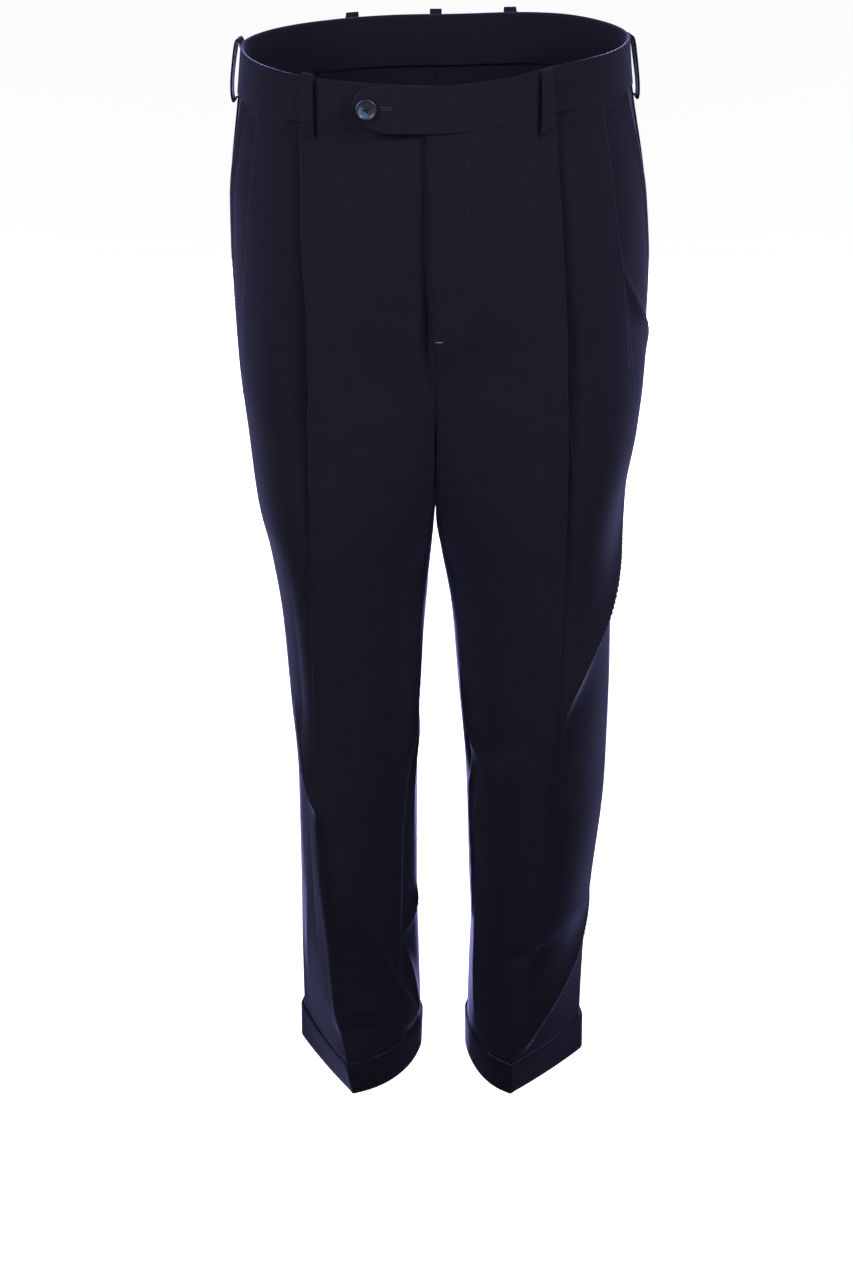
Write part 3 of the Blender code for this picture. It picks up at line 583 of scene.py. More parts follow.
def front_columns(side, height, path):
    """Where a front panel's columns lie on each section: distance along, distance out."""
    crease, end, turned = (path[name][:, None] for name in ("crease", "end", "turned"))
    apart = reading(PLEAT_APART, PLEAT_APART_COLUMNS, side, height)[:, None]
    apart = np.minimum(apart, 0.6 * (end - crease))
    inner_along, inner_out = pleat(INNER_PLEAT, height, CREASE_RIDGE * pressed(height))
    outer_along, outer_out = pleat(OUTER_PLEAT, height, 0)
    inner_along, outer_along = inner_along + crease, outer_along + crease + apart

    lap, lift = 0 * crease, 0 * crease
    if side == "left":
        lap = reading(FLY, FLY_COLUMNS, "lap", height)[:, None]
        lift = reading(FLY, FLY_COLUMNS, "raise", height)[:, None]
    # The straight stretch's columns all but close up where it has no length.
    steps = np.arange(1, 9)
    straight = steps * 0.4 * MM + steps / 8 * turned
    centre = between(straight[:, -1:], inner_along[:, :1], 64)[:, :-1]
    centre_along = np.hstack([-lap, straight, centre])
    centre_out = lift * (1 - ramp(centre_along, 0.3 * CM, 2.2 * CM))

    middle_along = between(inner_along[:, -1:], outer_along[:, :1], 22)[:, :-1]
    # Beyond the inner pleat the cloth comes up again, mostly within two centimetres.
    away = middle_along - inner_along[:, -1:]
    middle_out = inner_out[:, -1:] * np.exp(-away / (9 * MM)) * (1 - ramp(away, 0, 4.5 * CM))
    mouth = pocket_mouth(height)
    last = end - mouth - outseam_gap(height)
    side_along = between(outer_along[:, -1:], last, 22)
    near_mouth = ramp(side_along, last - MOUTH_EDGE, last)
    side_out = between(outer_out[:, -1:], 0 * last, 22)
    side_out = side_out * (1 - near_mouth) + near_mouth * MOUTH_OUT * ramp(mouth, 0, 1 * CM)
    # Below the pleats the columns beside the crease are spaced evenly.
    beside = np.hstack([middle_along, outer_along, side_along])
    even = between(inner_along[:, -1:], last, beside.shape[1])
    beside += ramp(height, -30 * CM, -38 * CM)[:, None] * (even - beside)
    return (
        np.hstack([centre_along, inner_along, beside]),
        np.hstack([centre_out, inner_out, middle_out, outer_out, side_out]),
    )


def rear_columns(height, path):
    """Where a back panel's columns lie, with the pressed crease as a low ridge."""
    crease, end, turned = (path[name][:, None] for name in ("crease", "end", "turned"))
    steps = np.arange(0, 9)
    straight = steps * 0.4 * MM + steps / 8 * turned
    beside = crease + np.array([-12, -8, -5, -3, -1.5, -0.7, 0, 0.7, 1.5, 3, 5, 8, 12]) * MM
    last = end - outseam_gap(height)
    along = np.hstack([
        straight, between(straight[:, -1:], beside[:, :1], 60)[:, :-1], beside,
        between(beside[:, -1:], last - 3 * MM, 56), last - np.array([2, 1.2, 0.6, 0.2, 0]) * MM,
    ])
    # The rear crease is pressed in from below the seat down.
    strength = REAR_RIDGE * pressed(height) * ramp(height, -15 * CM, -35 * CM)[:, None]
    return along, strength * crease_fall(along - crease)


def rolled_seam(distance):
    """A seam is pressed open, so the cloth rolls in as e to minus the distance over 1.1 mm."""
    return -0.6 * MM * np.exp(-np.abs(distance) / (1.1 * MM))


def levels():
    """Heights of a panel's rows: close at the crotch seam's turn, wider down the leg."""
    tucked = BAND_FOOT + np.array([0.2, -0.5, -1.2, -2]) * MM
    upper = np.concatenate([tucked, np.linspace(BAND_FOOT - 3 * MM, FLY_END, 36)])
    turn = FLY_END + (CROTCH - FLY_END) * np.sin(np.linspace(0, np.pi / 2, 28))[1:]
    lower = np.linspace(CROTCH, PANEL_FOOT, 180)[1:]
    return np.concatenate([upper, turn, lower])


def sided(points, side):
    """Points mirrored onto the wearer's right where that is their side."""
    return points * (1, 1, 1) if side == "left" else points * (-1, 1, 1)


def placed(name, data):
    """An object that holds the data, linked into the scene."""
    obj = bpy.data.objects.new(name, data)
    bpy.context.scene.collection.objects.link(obj)
    return obj


def grid_mesh(name, points, material, flip, wall=None, lids=False):
    """A piece from a grid of points (row, column, xyz): a face between each four neighbours, and
    a UV map in metres of cloth, across and down. A last row or column that lies on the first
    is one with it, and a row that is all one point is a pole. Lids close the ends of a tube,
    and Solidify gives a sheet its wall."""
    rows, columns = points.shape[:2]
    grid = np.arange(rows * columns).reshape(rows, columns)
    welded = grid.copy()
    if np.allclose(points[:, 0], points[:, -1]):
        welded[:, -1] = welded[:, 0]
    if np.allclose(points[0], points[-1]):
        welded[-1] = welded[0]
    for row in (0, -1):
        if np.allclose(points[row], points[row, :1]):
            welded[row] = welded[row, 0]
    corners = np.stack([grid[:-1, :-1], grid[1:, :-1], grid[1:, 1:], grid[:-1, 1:]], axis=2)
    corners = corners.reshape(-1, 4)
    shared = welded.reshape(-1)[corners]
    kept = shared != np.roll(shared, -1, axis=1)
    order, count = corners[kept], kept.sum(axis=1)
    if lids:
        order = np.concatenate([order, grid[:-1, 0][::-1], grid[:-1, -1]])
        count = np.concatenate([count, [rows - 1, rows - 1]])
    starts = np.concatenate([[0], np.cumsum(count)[:-1]])
    if flip:
        order, starts = order[::-1], (len(order) - starts - count)
    used, vertex = np.unique(welded.reshape(-1)[order], return_inverse=True)

    mesh = bpy.data.meshes.new(name)
    mesh.vertices.add(len(used))
    mesh.vertices.foreach_set("co", points.reshape(-1, 3)[used].reshape(-1))
    mesh.loops.add(len(order))
    mesh.loops.foreach_set("vertex_index", vertex.reshape(-1))
    mesh.polygons.add(len(starts))
    mesh.polygons.foreach_set("loop_start", np.sort(starts))
    mesh.update(calc_edges=True)
    mesh.shade_smooth()
    across = np.linalg.norm(np.diff(points, axis=1), axis=2)
    down = np.linalg.norm(np.diff(points, axis=0), axis=2).mean(axis=1)
    across = np.hstack([np.zeros((rows, 1)), np.cumsum(across, axis=1)])
    down = np.concatenate([[0], np.cumsum(down)])[:, None] + 0 * across
    weave = np.stack([across, down], axis=2).reshape(-1, 2)
    mesh.uv_layers.new(name="Cloth").data.foreach_set("uv", weave[order].reshape(-1))
    mesh.materials.append(material)
    obj = placed(name, mesh)
    if wall:
        solid = obj.modifiers.new("Wall", "SOLIDIFY")
        solid.thickness, solid.offset = wall, 0
    return obj


def linear(hexed):
    """An sRGB hex colour as linear light: above 0.04045, the 2.4th power of (value + 0.055) over
    1.055; below it, value over 12.92."""
    value = np.array([int(hexed[i : i + 2], 16) for i in (1, 3, 5)]) / 255
    value = np.where(value <= 0.04045, value / 12.92, ((value + 0.055) / 1.055) ** 2.4)
    return (*value.tolist(), 1.0)


def add(tree, kind, settings=None, links=None):
    """A node with its properties or socket values set, and its inputs linked."""
    node = tree.nodes.new(kind)
    for key, value in (settings or {}).items():
        if isinstance(key, str) and hasattr(node, key):
            setattr(node, key, value)
        else:
            node.inputs[key].default_value = value
    for key, socket in (links or {}).items():
        tree.links.new(socket, node.inputs[key])
    return node


def set_sockets(node, values):
    """A node's input sockets set to constants."""
    for key, value in values.items():
        node.inputs[key].default_value = value


def new_material(name):
    """A material with its node tree and its shader."""
    made = bpy.data.materials.new(name)
    made.use_nodes = True
    return made, made.node_tree, made.node_tree.nodes["Principled BSDF"]


def worsted_cloth(name):
    """Fine plain-woven worsted, dyed navy in the yarn: dark and close to matt, with a slight
    bluish sheen where it turns away, and faint uneven threads both ways."""
    made, tree, shader = new_material(name)
    cloth = add(tree, "ShaderNodeUVMap", {"uv_map": "Cloth"})
    # Yarns are about 0.45 mm apart; they are drawn at 0.9 mm, so that they show at all.
    yarn = 0.9 * MM
    waves = []
    for direction in ("X", "Y"):
        waves.append(add(
            tree, "ShaderNodeTexWave",
            {"wave_type": "BANDS", "bands_direction": direction, "Scale": 0.314 / (2 * yarn),
             "Distortion": 0.35, "Detail": 2.0, "Detail Scale": 0.4},
            {"Vector": cloth.outputs["UV"]},
        ))
    weave = add(
        tree, "ShaderNodeMath", {"operation": "MULTIPLY"},
        {0: waves[0].outputs["Fac"], 1: waves[1].outputs["Fac"]},
    )
    # Slubs: yarns are a little thicker for a few centimetres of their length.
    slubs = []
    for long_way in ((700, 18, 1), (18, 700, 1)):
        run = add(tree, "ShaderNodeMapping", {"Scale": long_way}, {"Vector": cloth.outputs["UV"]})
        slubs.append(add(
            tree, "ShaderNodeTexNoise", {"noise_dimensions": "2D", "Scale": 1.0, "Detail": 1.0},
            {"Vector": run.outputs[0]},
        ))
    slub = add(
        tree, "ShaderNodeMath", {"operation": "ADD"},
        {0: slubs[0].outputs["Fac"], 1: slubs[1].outputs["Fac"]},
    )
    tone = add(
        tree, "ShaderNodeMath", {"operation": "MULTIPLY_ADD", 1: 0.5},
        {0: weave.outputs[0], 2: slub.outputs[0]},
    )
    share = add(
        tree, "ShaderNodeMapRange", {"From Min": 0.2, "From Max": 2.3, "To Min": 0.0, "To Max": 1.0},
        {"Value": tone.outputs[0]},
    )
    colour = add(
        tree, "ShaderNodeMix",
        {"data_type": "RGBA", 6: linear("#13121a"), 7: linear("#1b1a26")},
        {0: share.outputs[0]},
    )
    tree.links.new(colour.outputs[2], shader.inputs["Base Color"])
    bump = add(
        tree, "ShaderNodeBump", {"Strength": 0.4, "Distance": 0.1 * MM}, {"Height": tone.outputs[0]}
    )
    tree.links.new(bump.outputs[0], shader.inputs["Normal"])
    set_sockets(shader, {
        "Roughness": 0.65, "Specular IOR Level": 0.0,
        "Sheen Weight": 1.0, "Sheen Roughness": 0.26, "Sheen Tint": linear("#a3a3ec"),
    })
    return made


worsted = worsted_cloth("navy_worsted_plain_weave")
root = next(iter(frame["bodies"]))


def finish_cloth(piece, nodes):
    """The calls that every piece of cloth makes."""
    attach(piece, root)
    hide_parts(*nodes)


def nodes_named(start):
    """The frame's nodes whose names begin so, such as the two lengths of a panel."""
    return [name for name in sorted(frame["nodes"]) if name.startswith(start)]


def make_panels(side):
    """The front and back of one side, with the folds on both."""
    height = levels()
    front, rear = section(side, height), section(side, height, rear=True)
    gap = SEAM / 2 * (height <= CROTCH)[:, None]
    front_reach = (front["end"] - front["crease"])[:, None]

    for rearward, path in ((False, front), (True, rear)):
        name = "back" if rearward else "front"
        along, out = rear_columns(height, path) if rearward else front_columns(side, height, path)
        along[:, :1] += gap
        crease, end = path["crease"][:, None], path["end"][:, None]
        around = front_reach + end - along if rearward else along - crease
        # Folds die out over 2 mm at the centre seams, 12 mm at the inseam, and by the turn-up.
        seam = (0.2 + ramp(height, -22 * CM, -30 * CM)[:, None]) * CM
        edges = ramp(along, 0, seam)
        edges *= ramp(height[:, None], PANEL_FOOT + 4 * CM, PANEL_FOOT + 5.5 * CM)
        out = out + fold_rise(side, around, height[:, None]) * edges
        sewn = 1 if rearward else ramp(height, FLY_END - 1 * CM, FLY_END - 3 * CM)[:, None]
        out += sewn * rolled_seam(along - along[:, :1])
        closed = 1 if rearward else ramp(height, POCKET_FOOT + 1 * CM, POCKET_FOOT)[:, None]
        out += closed * rolled_seam(along - along[:, -1:])
        out -= TUCK_DEPTH * ramp(height, BAND_FOOT - 2.5 * MM, BAND_FOOT - SEAM)[:, None]
        points = sided(place(path, height, along, out), side)
        piece = grid_mesh(
            f"{name}_panel_{side}", points, worsted, (side == "right") != rearward, wall=CLOTH
        )
        finish_cloth(piece, nodes_named(f"{name}_{side}"))
        panels[name, side] = {"height": height, "along": along, "points": points}


panels = {}
for side in ("right", "left"):
    make_panels(side)


# ---------------------------------------------------------------------------------------------
# Pocket facings. A strip of the same cloth behind each slant pocket's mouth, which carries the
# front's line on to the outseam.
# ---------------------------------------------------------------------------------------------

FACING_WALL = 0.9 * MM
FACING_OUT = -1.8 * MM
FACING_TUCK = 0.7 * CM

for side in ("right", "left"):
    # It reaches just past the foot of the mouth, so that no light comes through there.
    height = np.linspace(BAND_FOOT - SEAM, POCKET_FOOT - 1 * MM, 54)
    path = section(side, height)
    last = path["end"][:, None] - SEAM / 2
    first = last - pocket_mouth(height) - FACING_TUCK
    along = np.hstack([first, between(first, last, 16)])
    points = sided(place(path, height, along, FACING_OUT + 0 * along), side)
    piece = grid_mesh(
        f"pocket_facing_cloth_{side}", points, worsted, side == "right", wall=FACING_WALL
    )
    finish_cloth(piece, nodes_named(f"pocket_facing_{side}"))


# ---------------------------------------------------------------------------------------------
# Waistband. Two halves of doubled, interlined cloth, seamed at the centre back, with the panels'
# tops caught between face and back. The wearer's left half runs on past the front edge as a tab
# with a blunt point, which buttons over.
# ---------------------------------------------------------------------------------------------

BAND_TOP = 2.0 * CM
TAB_LENGTH = 6.8 * CM
TAB_LIFT = 2.9 * MM
TAB_RISES = 0.3 * CM
TAB_RISEN = 2.4 * CM
# The band's cross-section, from the lip of its foot up the face, over the top and down the back
# to the slot that holds the panels: millimetres out and centimetres high. The tab's has no slot.
BAND_LIP = ((0.45, -1.78), (0.62, -1.83), (0.88, -1.83), (1.0, -1.79))
BAND_HEAD = ((0.95, 1.95), (0.8, 1.985), (0.5, 2.0), (-1.9, 1.92), (-2.2, 1.88), (-2.37, 1.82))
BAND_HEEL = ((-2.35, -2.60), (-2.2, -2.63), (-1.85, -2.63), (-1.68, -2.60), (-1.62, -2.5))
BAND_SLOT = ((-1.62, -1.78), (-1.55, -1.72), (-0.6, -1.70), (0.3, -1.71), (0.42, -1.74))
TAB_LIP = ((0.45, -1.83), (0.62, -1.83), (0.88, -1.82), (1.0, -1.79))
TAB_HEAD = ((0.95, 1.95), (0.8, 1.985), (0.5, 2.0), (-0.85, 1.95), (-1.15, 1.92), (-1.32, 1.86))
TAB_HEEL = ((-1.33, -1.79), (-1.28, -1.81), (-1.2, -1.825), (-1.1, -1.83), (-0.95, -1.83))
TAB_SLOT = ((-0.7, -1.83), (-0.45, -1.83), (-0.2, -1.83), (0.05, -1.83), (0.27, -1.83))
# The tab's outline at its end, in centimetres.
TAB_END_COLUMNS = ("around", "top", "foot")
TAB_END = (
    (-3.8, 2.0, -1.75), (-4.3, 2.0, -1.71), (-4.86, 2.0, -1.58), (-5.4, 1.98, -1.32),
    (-5.75, 1.86, -1.06), (-6.2, 1.58, -0.66), (-6.5, 1.28, -0.30), (-6.7, 0.98, 0.02),
    (-6.8, 0.66, 0.34),
)


def band_section(lip, head, heel, slot):
    """The closed cross-section as rows of (out, height), with 12 places up face and back."""
    face = np.stack([np.full(12, lip[-1][0]), np.linspace(-1.7, 1.9, 12)], axis=1)
    back = np.stack([np.full(12, heel[0][0] - 0.03), np.linspace(1.75, heel[0][1] + 0.06, 12)], axis=1)
    return np.vstack([lip, face, head, back, heel, slot, lip[:1]]) * (MM, CM)


def band_ring(side, height, around, out):
    """Points on the waist's ring at a distance round it from the front centre."""
    front, rear = section(side, height), section(side, height, rear=True)
    turn = front["end"][:, None]
    whole = turn + rear["end"][:, None]
    ahead = place(front, height, np.minimum(around, turn), out)
    behind = place(rear, height, np.clip(whole - around, 0, None), out)
    return np.where((around <= turn)[:, :, None], ahead, behind)


def make_waistband(side):
    """Half the band, its cross-section carried round the waist's ring."""
    band = band_section(BAND_LIP, BAND_HEAD, BAND_HEEL, BAND_SLOT)
    tab = band_section(TAB_LIP, TAB_HEAD, TAB_HEEL, TAB_SLOT)
    height = band[:, 1]
    front, rear = section(side, height), section(side, height, rear=True)
    whole = (front["end"] + rear["end"])[:, None]
    around = np.linspace(0, 1, 150) * (whole - SEAM / 2)
    out = band[:, :1] + 0 * around
    if side == "left":
        # The tab's columns close up towards its end.
        ahead = -TAB_LENGTH * (1 - np.linspace(0, 1, 44) ** 1.6)[:-1]
        around = np.hstack([ahead + 0 * whole, around])
        free = 1 - ramp(around, -0.1 * CM, 0.3 * CM)
        out = band[:, :1] + free * (tab - band)[:, :1]
        # The tab's edge is rounded over its last millimetre.
        last = np.clip((around + TAB_LENGTH) / (1.2 * MM), 0, 1)
        centre = tab[:, 0].mean()
        out = centre + (out - centre) * (0.25 + 0.75 * np.sqrt(1 - (1 - last) ** 2))
        out += TAB_LIFT * (1 - ramp(around, TAB_RISES, TAB_RISEN))
    points = band_ring(side, height, around, out)
    if side == "left":
        top, foot = (reading(TAB_END, TAB_END_COLUMNS, edge, around[0]) for edge in ("top", "foot"))
        level = height[:, None] + free * (tab - band)[:, 1:]
        share = (level - BAND_FOOT) / (BAND_TOP - BAND_FOOT)
        points[:, :, 2] += foot + share * (top - foot) - height[:, None]
    piece = grid_mesh(
        f"waistband_cloth_{side}", sided(points, side), worsted, side != "right", lids=True
    )
    piece.data.set_sharp_from_angle(angle=np.radians(60))
    finish_cloth(piece, nodes_named(f"waistband_{side}"))


for side in ("right", "left"):
    make_waistband(side)


# ---------------------------------------------------------------------------------------------
# Turn-ups. The leg's end is folded up on the outside and pressed, with the crease pressed
# through it, and turned in below to a hem inside the leg.
# ---------------------------------------------------------------------------------------------

# The turn-up's cross-section, from its upper edge down the face, under the leg and up inside:
# millimetres out from the leg's section and centimetres above the hem.
TURNUP_PROFILE = (
    (2.85, 4.10), (3.10, 4.07), (3.20, 3.97), (3.10, 3.0), (3.00, 2.0), (2.90, 1.0), (2.80, 0.35),
    (2.60, 0.15), (2.20, 0.04), (1.50, 0.0), (0.30, 0.0), (-0.90, 0.0), (-1.40, 0.05), (-1.60, 0.2),
    (-1.60, 2.2), (-1.50, 2.25), (-1.10, 2.25), (-0.95, 2.2), (-0.90, 0.35), (-0.70, 0.22),
    (0.50, 0.20), (0.75, 0.30), (0.90, 1.0), (1.30, 2.0), (1.70, 3.0), (2.00, 3.9), (2.30, 4.02),
    (2.60, 4.09), (2.85, 4.10),
)
TURNUP_RIDGE = 1.2 * MM

for side in ("right", "left"):
    profile = np.array(TURNUP_PROFILE) * (MM, CM)
    height, out = HEM + profile[:, 1], profile[:, :1]
    front, rear = section(side, height), section(side, height, rear=True)
    close = np.array([-6, -3.5, -2, -1, -0.4, 0, 0.4, 1, 2, 3.5, 6]) * MM
    halves = []
    for path in (front, rear):
        crease = path["crease"][:, None]
        halves.append(np.hstack([
            0 * out, between(0, crease + close[0], 50)[:, :-1], crease + close,
            between(crease + close[-1], path["end"][:, None], 44),
        ]))
    ahead, behind = halves[0], halves[1][:, ::-1]
    # The crease runs on through the turn-up, falling off as e to minus the distance over 2.2 mm.
    front_ridge, rear_ridge = (
        out + ridge * np.exp(-np.abs(along - path["crease"][:, None]) / (2.2 * MM))
        for along, path, ridge in (
            (ahead, front, TURNUP_RIDGE), (behind, rear, 0.6 * TURNUP_RIDGE),
        )
    )
    points = np.hstack([
        place(front, height, ahead, front_ridge)[:, :-1], place(rear, height, behind, rear_ridge),
    ])
    # Both halves start at the inseam, where their points are drawn together.
    points[:, -1] = points[:, 0]
    piece = grid_mesh(f"turnup_cloth_{side}", sided(points, side), worsted, side == "right")
    piece.data.set_sharp_from_angle(angle=np.radians(60))
    finish_cloth(piece, nodes_named(f"turnup_{side}"))


# ---------------------------------------------------------------------------------------------
# Belt loops. Seven strips, folded in three and stitched, tucked under at the band's top edge
# and just below the waist seam, standing off the band between.
# ---------------------------------------------------------------------------------------------

LOOP_WIDTH = 10.5 * MM
LOOP_WALL = 1.6 * MM
LOOP_FOOTING = 0.20 * CM
# Each loop's side, its place round the band from the front centre, how much more than the front
# ones it stands off, and how much lower it is sewn.
LOOPS = {
    "front_right": ("right", 10.75 * CM, 1.0, 0),
    "front_left": ("left", 9.35 * CM, 1.0, 4 * MM),
    "side_right": ("right", 24.0 * CM, 1.9, 1 * MM),
    "side_left": ("left", 23.8 * CM, 1.9, 7 * MM),
    "back_right": ("right", 36.5 * CM, 1.2, 0),
    "back_left": ("left", 36.5 * CM, 1.2, 0),
    "centre_back": ("left", None, 1.2, 0),
}
# A loop's line, in centimetres: how far it stands out from the section, and its height.
LOOP_LINE = (
    (0.20, 1.70), (0.24, 2.12), (0.35, 2.30), (0.45, 1.95), (0.48, 0.50),
    (0.47, -1.20), (0.40, -2.30), (0.30, -2.78), (0.20, -2.60),
)

for name, (side, middle, stand, lower) in LOOPS.items():
    line = smooth_line(LOOP_LINE, 6) * CM - (0, lower)
    across = np.linspace(-0.5, 0.5, 9)
    out = LOOP_FOOTING + stand * (line[:, :1] - LOOP_FOOTING) + 0 * across
    if middle is None:
        rear = section("left", line[:, 1], rear=True)
        points = place(rear, line[:, 1], 0 * out, out)
        points[:, :, 0] = across * LOOP_WIDTH
    else:
        points = band_ring(side, line[:, 1], middle + across * LOOP_WIDTH + 0 * out, out)
    piece = grid_mesh(
        f"belt_loop_cloth_{name}", sided(points, side), worsted, side == "right" or middle is None,
        wall=LOOP_WALL,
    )
    edge = piece.modifiers.new("Folded edge", "BEVEL")
    edge.width, edge.segments, edge.limit_method = 0.4 * MM, 2, "ANGLE"
    finish_cloth(piece, [f"belt_loop_{name}"])


# ---------------------------------------------------------------------------------------------
# Waist button. A turned disc of clouded polyester resin, made to look like shell, with a raised
# rim and four holes, sewn on through them with dark thread.
# ---------------------------------------------------------------------------------------------

BUTTON_RADIUS = 8.5 * MM
BUTTON_PLACE = -5.7 * CM
BUTTON_HEIGHT = 0.2 * CM
BUTTON_OUT = 4.8 * MM
# The middle of its face is this far from its back.
BUTTON_FACE = 1.75 * MM
# The four holes: radius, depth, how far out they are, and how far round they are turned.
THREAD_HOLE = 0.85 * MM
THREAD_HOLE_DEEP = 1.6 * MM
THREAD_HOLES_OUT = 2.4 * MM
THREAD_TURN = np.radians(10)
# Shares of the radius, and millimetres up, from the middle of the face round to the back.
BUTTON_PROFILE = (
    (0.0, 1.75), (0.2, 1.75), (0.4, 1.74), (0.62, 1.78), (0.74, 1.98), (0.82, 2.35), (0.89, 2.6),
    (0.95, 2.52), (0.985, 2.2), (1.0, 1.7), (0.97, 1.0), (0.88, 0.4), (0.7, 0.1), (0.4, 0.0), (0.0, 0.0),
)


def button_frame():
    """The button's seat on the tab, its two directions across, and the direction it faces."""
    height, along = np.array([BUTTON_HEIGHT]), np.array([[BUTTON_PLACE]])
    path = section("left", height)
    seat = place(path, height, along, np.array([[BUTTON_OUT]]))[0, 0]
    facing = place(path, height, along, np.array([[BUTTON_OUT + CM]]))[0, 0] - seat
    facing[2] = 0
    facing /= np.linalg.norm(facing)
    return seat, np.array([-facing[1], facing[0], 0]), np.array([0, 0, 1.0]), facing


def clouded_resin(name, middle, radius):
    """Polyester resin with a pearly cloud, dark grey under a soft gloss, with a painted highlight
    that clears it to blue at one corner, the lower one towards the wearer's right, and painted shade on
    its rim."""
    made, tree, shader = new_material(name)
    spot = add(tree, "ShaderNodeTexCoord")
    # The cloud's streaks are 5 to 8 mm long.
    cloud = add(
        tree, "ShaderNodeTexNoise", {"Scale": 140.0, "Detail": 1.5, "Distortion": 0.8},
        {"Vector": spot.outputs["Object"]},
    )
    # A painted highlight: the colour clears towards the blue stop along this way, down and to the
    # wearer's right.
    corner = np.array([-0.7, 0, -0.7]) / radius
    slant = add(
        tree, "ShaderNodeVectorMath", {"operation": "DOT_PRODUCT", 1: corner.tolist()},
        {0: spot.outputs["Object"]},
    )
    # The painted highlight: 0 at the button's middle, and about 1 at that edge.
    slant = add(
        tree, "ShaderNodeMath", {"operation": "SUBTRACT", 1: float(corner @ middle)},
        {0: slant.outputs["Value"]},
    )
    tone = add(
        tree, "ShaderNodeMath", {"operation": "MULTIPLY_ADD", 1: 0.45},
        {0: slant.outputs[0], 2: cloud.outputs["Fac"]},
    )
    # The rim, beyond three quarters of the radius, stays dark: painted shade, which also keeps the
    # painted highlight off it.
    from_middle = add(
        tree, "ShaderNodeVectorMath", {"operation": "DISTANCE", 1: middle.tolist()},
        {0: spot.outputs["Object"]},
    )
    rim = add(
        tree, "ShaderNodeMapRange",
        {"From Min": 0.75 * radius, "From Max": 0.9 * radius, "To Min": 0.0, "To Max": -0.6},
        {"Value": from_middle.outputs["Value"]},
    )
    tone = add(
        tree, "ShaderNodeMath", {"operation": "ADD"}, {0: tone.outputs[0], 1: rim.outputs[0]}
    )
    tint = add(tree, "ShaderNodeValToRGB", links={"Fac": tone.outputs[0]})
    stops = tint.color_ramp.elements
    stops[0].position, stops[0].color = 0.5, linear("#23232d")
    stops[1].position, stops[1].color = 0.95, linear("#3c5876")
    tree.links.new(tint.outputs["Color"], shader.inputs["Base Color"])
    set_sockets(shader, {"Roughness": 0.32, "IOR": 1.45})
    return made


seat, right_way, up_way, facing = button_frame()
profile = smooth_line(BUTTON_PROFILE, 5) * (BUTTON_RADIUS, MM)
profile[:, 0] = np.maximum(profile[:, 0], 0)
profile[-1] = (0, 0)
angle = np.linspace(0, 2 * np.pi, 97)
disc_x, disc_y = profile[:, :1] * np.cos(angle), profile[:, :1] * np.sin(angle)
disc_up = profile[:, 1:] + 0 * disc_x
hole_turn = THREAD_TURN + np.arange(4) * np.pi / 2
away = np.min([
    np.hypot(disc_x - x, disc_y - y)
    for x, y in zip(THREAD_HOLES_OUT * np.cos(hole_turn), THREAD_HOLES_OUT * np.sin(hole_turn))
], axis=0)
on_face = disc_up > 1.5 * MM
disc_up = disc_up - THREAD_HOLE_DEEP * ramp(away, THREAD_HOLE, THREAD_HOLE - 0.2 * MM) * on_face
points = seat + sum(
    part[..., None] * way for part, way in ((disc_x, right_way), (disc_y, up_way), (disc_up, facing))
)
points[:, -1] = points[:, 0]
resin = clouded_resin("clouded_polyester_resin", seat, BUTTON_RADIUS)
piece = grid_mesh("button_turned", points, resin, True)
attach(piece, root)
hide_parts("button")


# ---------------------------------------------------------------------------------------------
# Sewing. Polyester thread a third of a millimetre thick, navy like the cloth: the fly's curved
# row, the bar tack at its foot, the buttonhole, the button's cross, the pocket mouths' edges.
# ---------------------------------------------------------------------------------------------

THREAD = 0.35 * MM
STITCH = 2.5 * MM
STITCH_GAP = 0.8 * MM


def sewing_thread(name, dark, light):
    """Spun polyester thread: its plies are a fifth of a millimetre apart and its gloss is low, so
    that it shows as a broken line, a shade lighter than the cloth or darker."""
    made, tree, shader = new_material(name)
    spot = add(tree, "ShaderNodeTexCoord")
    ply = add(
        tree, "ShaderNodeTexNoise", {"Scale": 2500.0, "Detail": 1.0},
        {"Vector": spot.outputs["Object"]},
    )
    tone = add(
        tree, "ShaderNodeMix", {"data_type": "RGBA", 6: linear(dark), 7: linear(light)},
        {0: ply.outputs["Fac"]},
    )
    tree.links.new(tone.outputs[2], shader.inputs["Base Color"])
    set_sockets(shader, {"Roughness": 0.55, "Specular IOR Level": 0.2})
    return made


def on_panel(panel, along, height):
    """Points and outward directions on a panel, between its four nearest grid points, at
    distances along its sections; a negative distance is back from its outer edge."""
    grid_along, grid_points = panel["along"], panel["points"]
    outer = along[0] < 0
    row = np.interp(-height, -panel["height"], np.arange(len(panel["height"])))
    low = np.minimum(row.astype(int), len(panel["height"]) - 2)
    part = (row - low)[:, None]
    level = grid_along[low] * (1 - part) + grid_along[low + 1] * part
    points = grid_points[low] * (1 - part[..., None]) + grid_points[low + 1] * part[..., None]
    wanted = along + level[:, -1] if outer else along
    passed = level > wanted[:, None]
    column = level.shape[1] - np.argmin(passed[:, ::-1], axis=1) if outer else np.argmax(passed, axis=1)
    column = np.clip(column, 1, level.shape[1] - 1)
    pick = np.arange(len(along))
    before, after = level[pick, column - 1], level[pick, column]
    share = ((wanted - before) / (after - before))[:, None]
    spot = points[pick, column - 1] * (1 - share) + points[pick, column] * share
    run = points[pick, column] - points[pick, column - 1]
    fall = grid_points[low + 1, column] - grid_points[low, column]
    normal = np.cross(run, fall)
    normal /= np.linalg.norm(normal, axis=1)[:, None]
    return spot, normal * np.where(normal[:, 1:2] > 0, -1, 1)


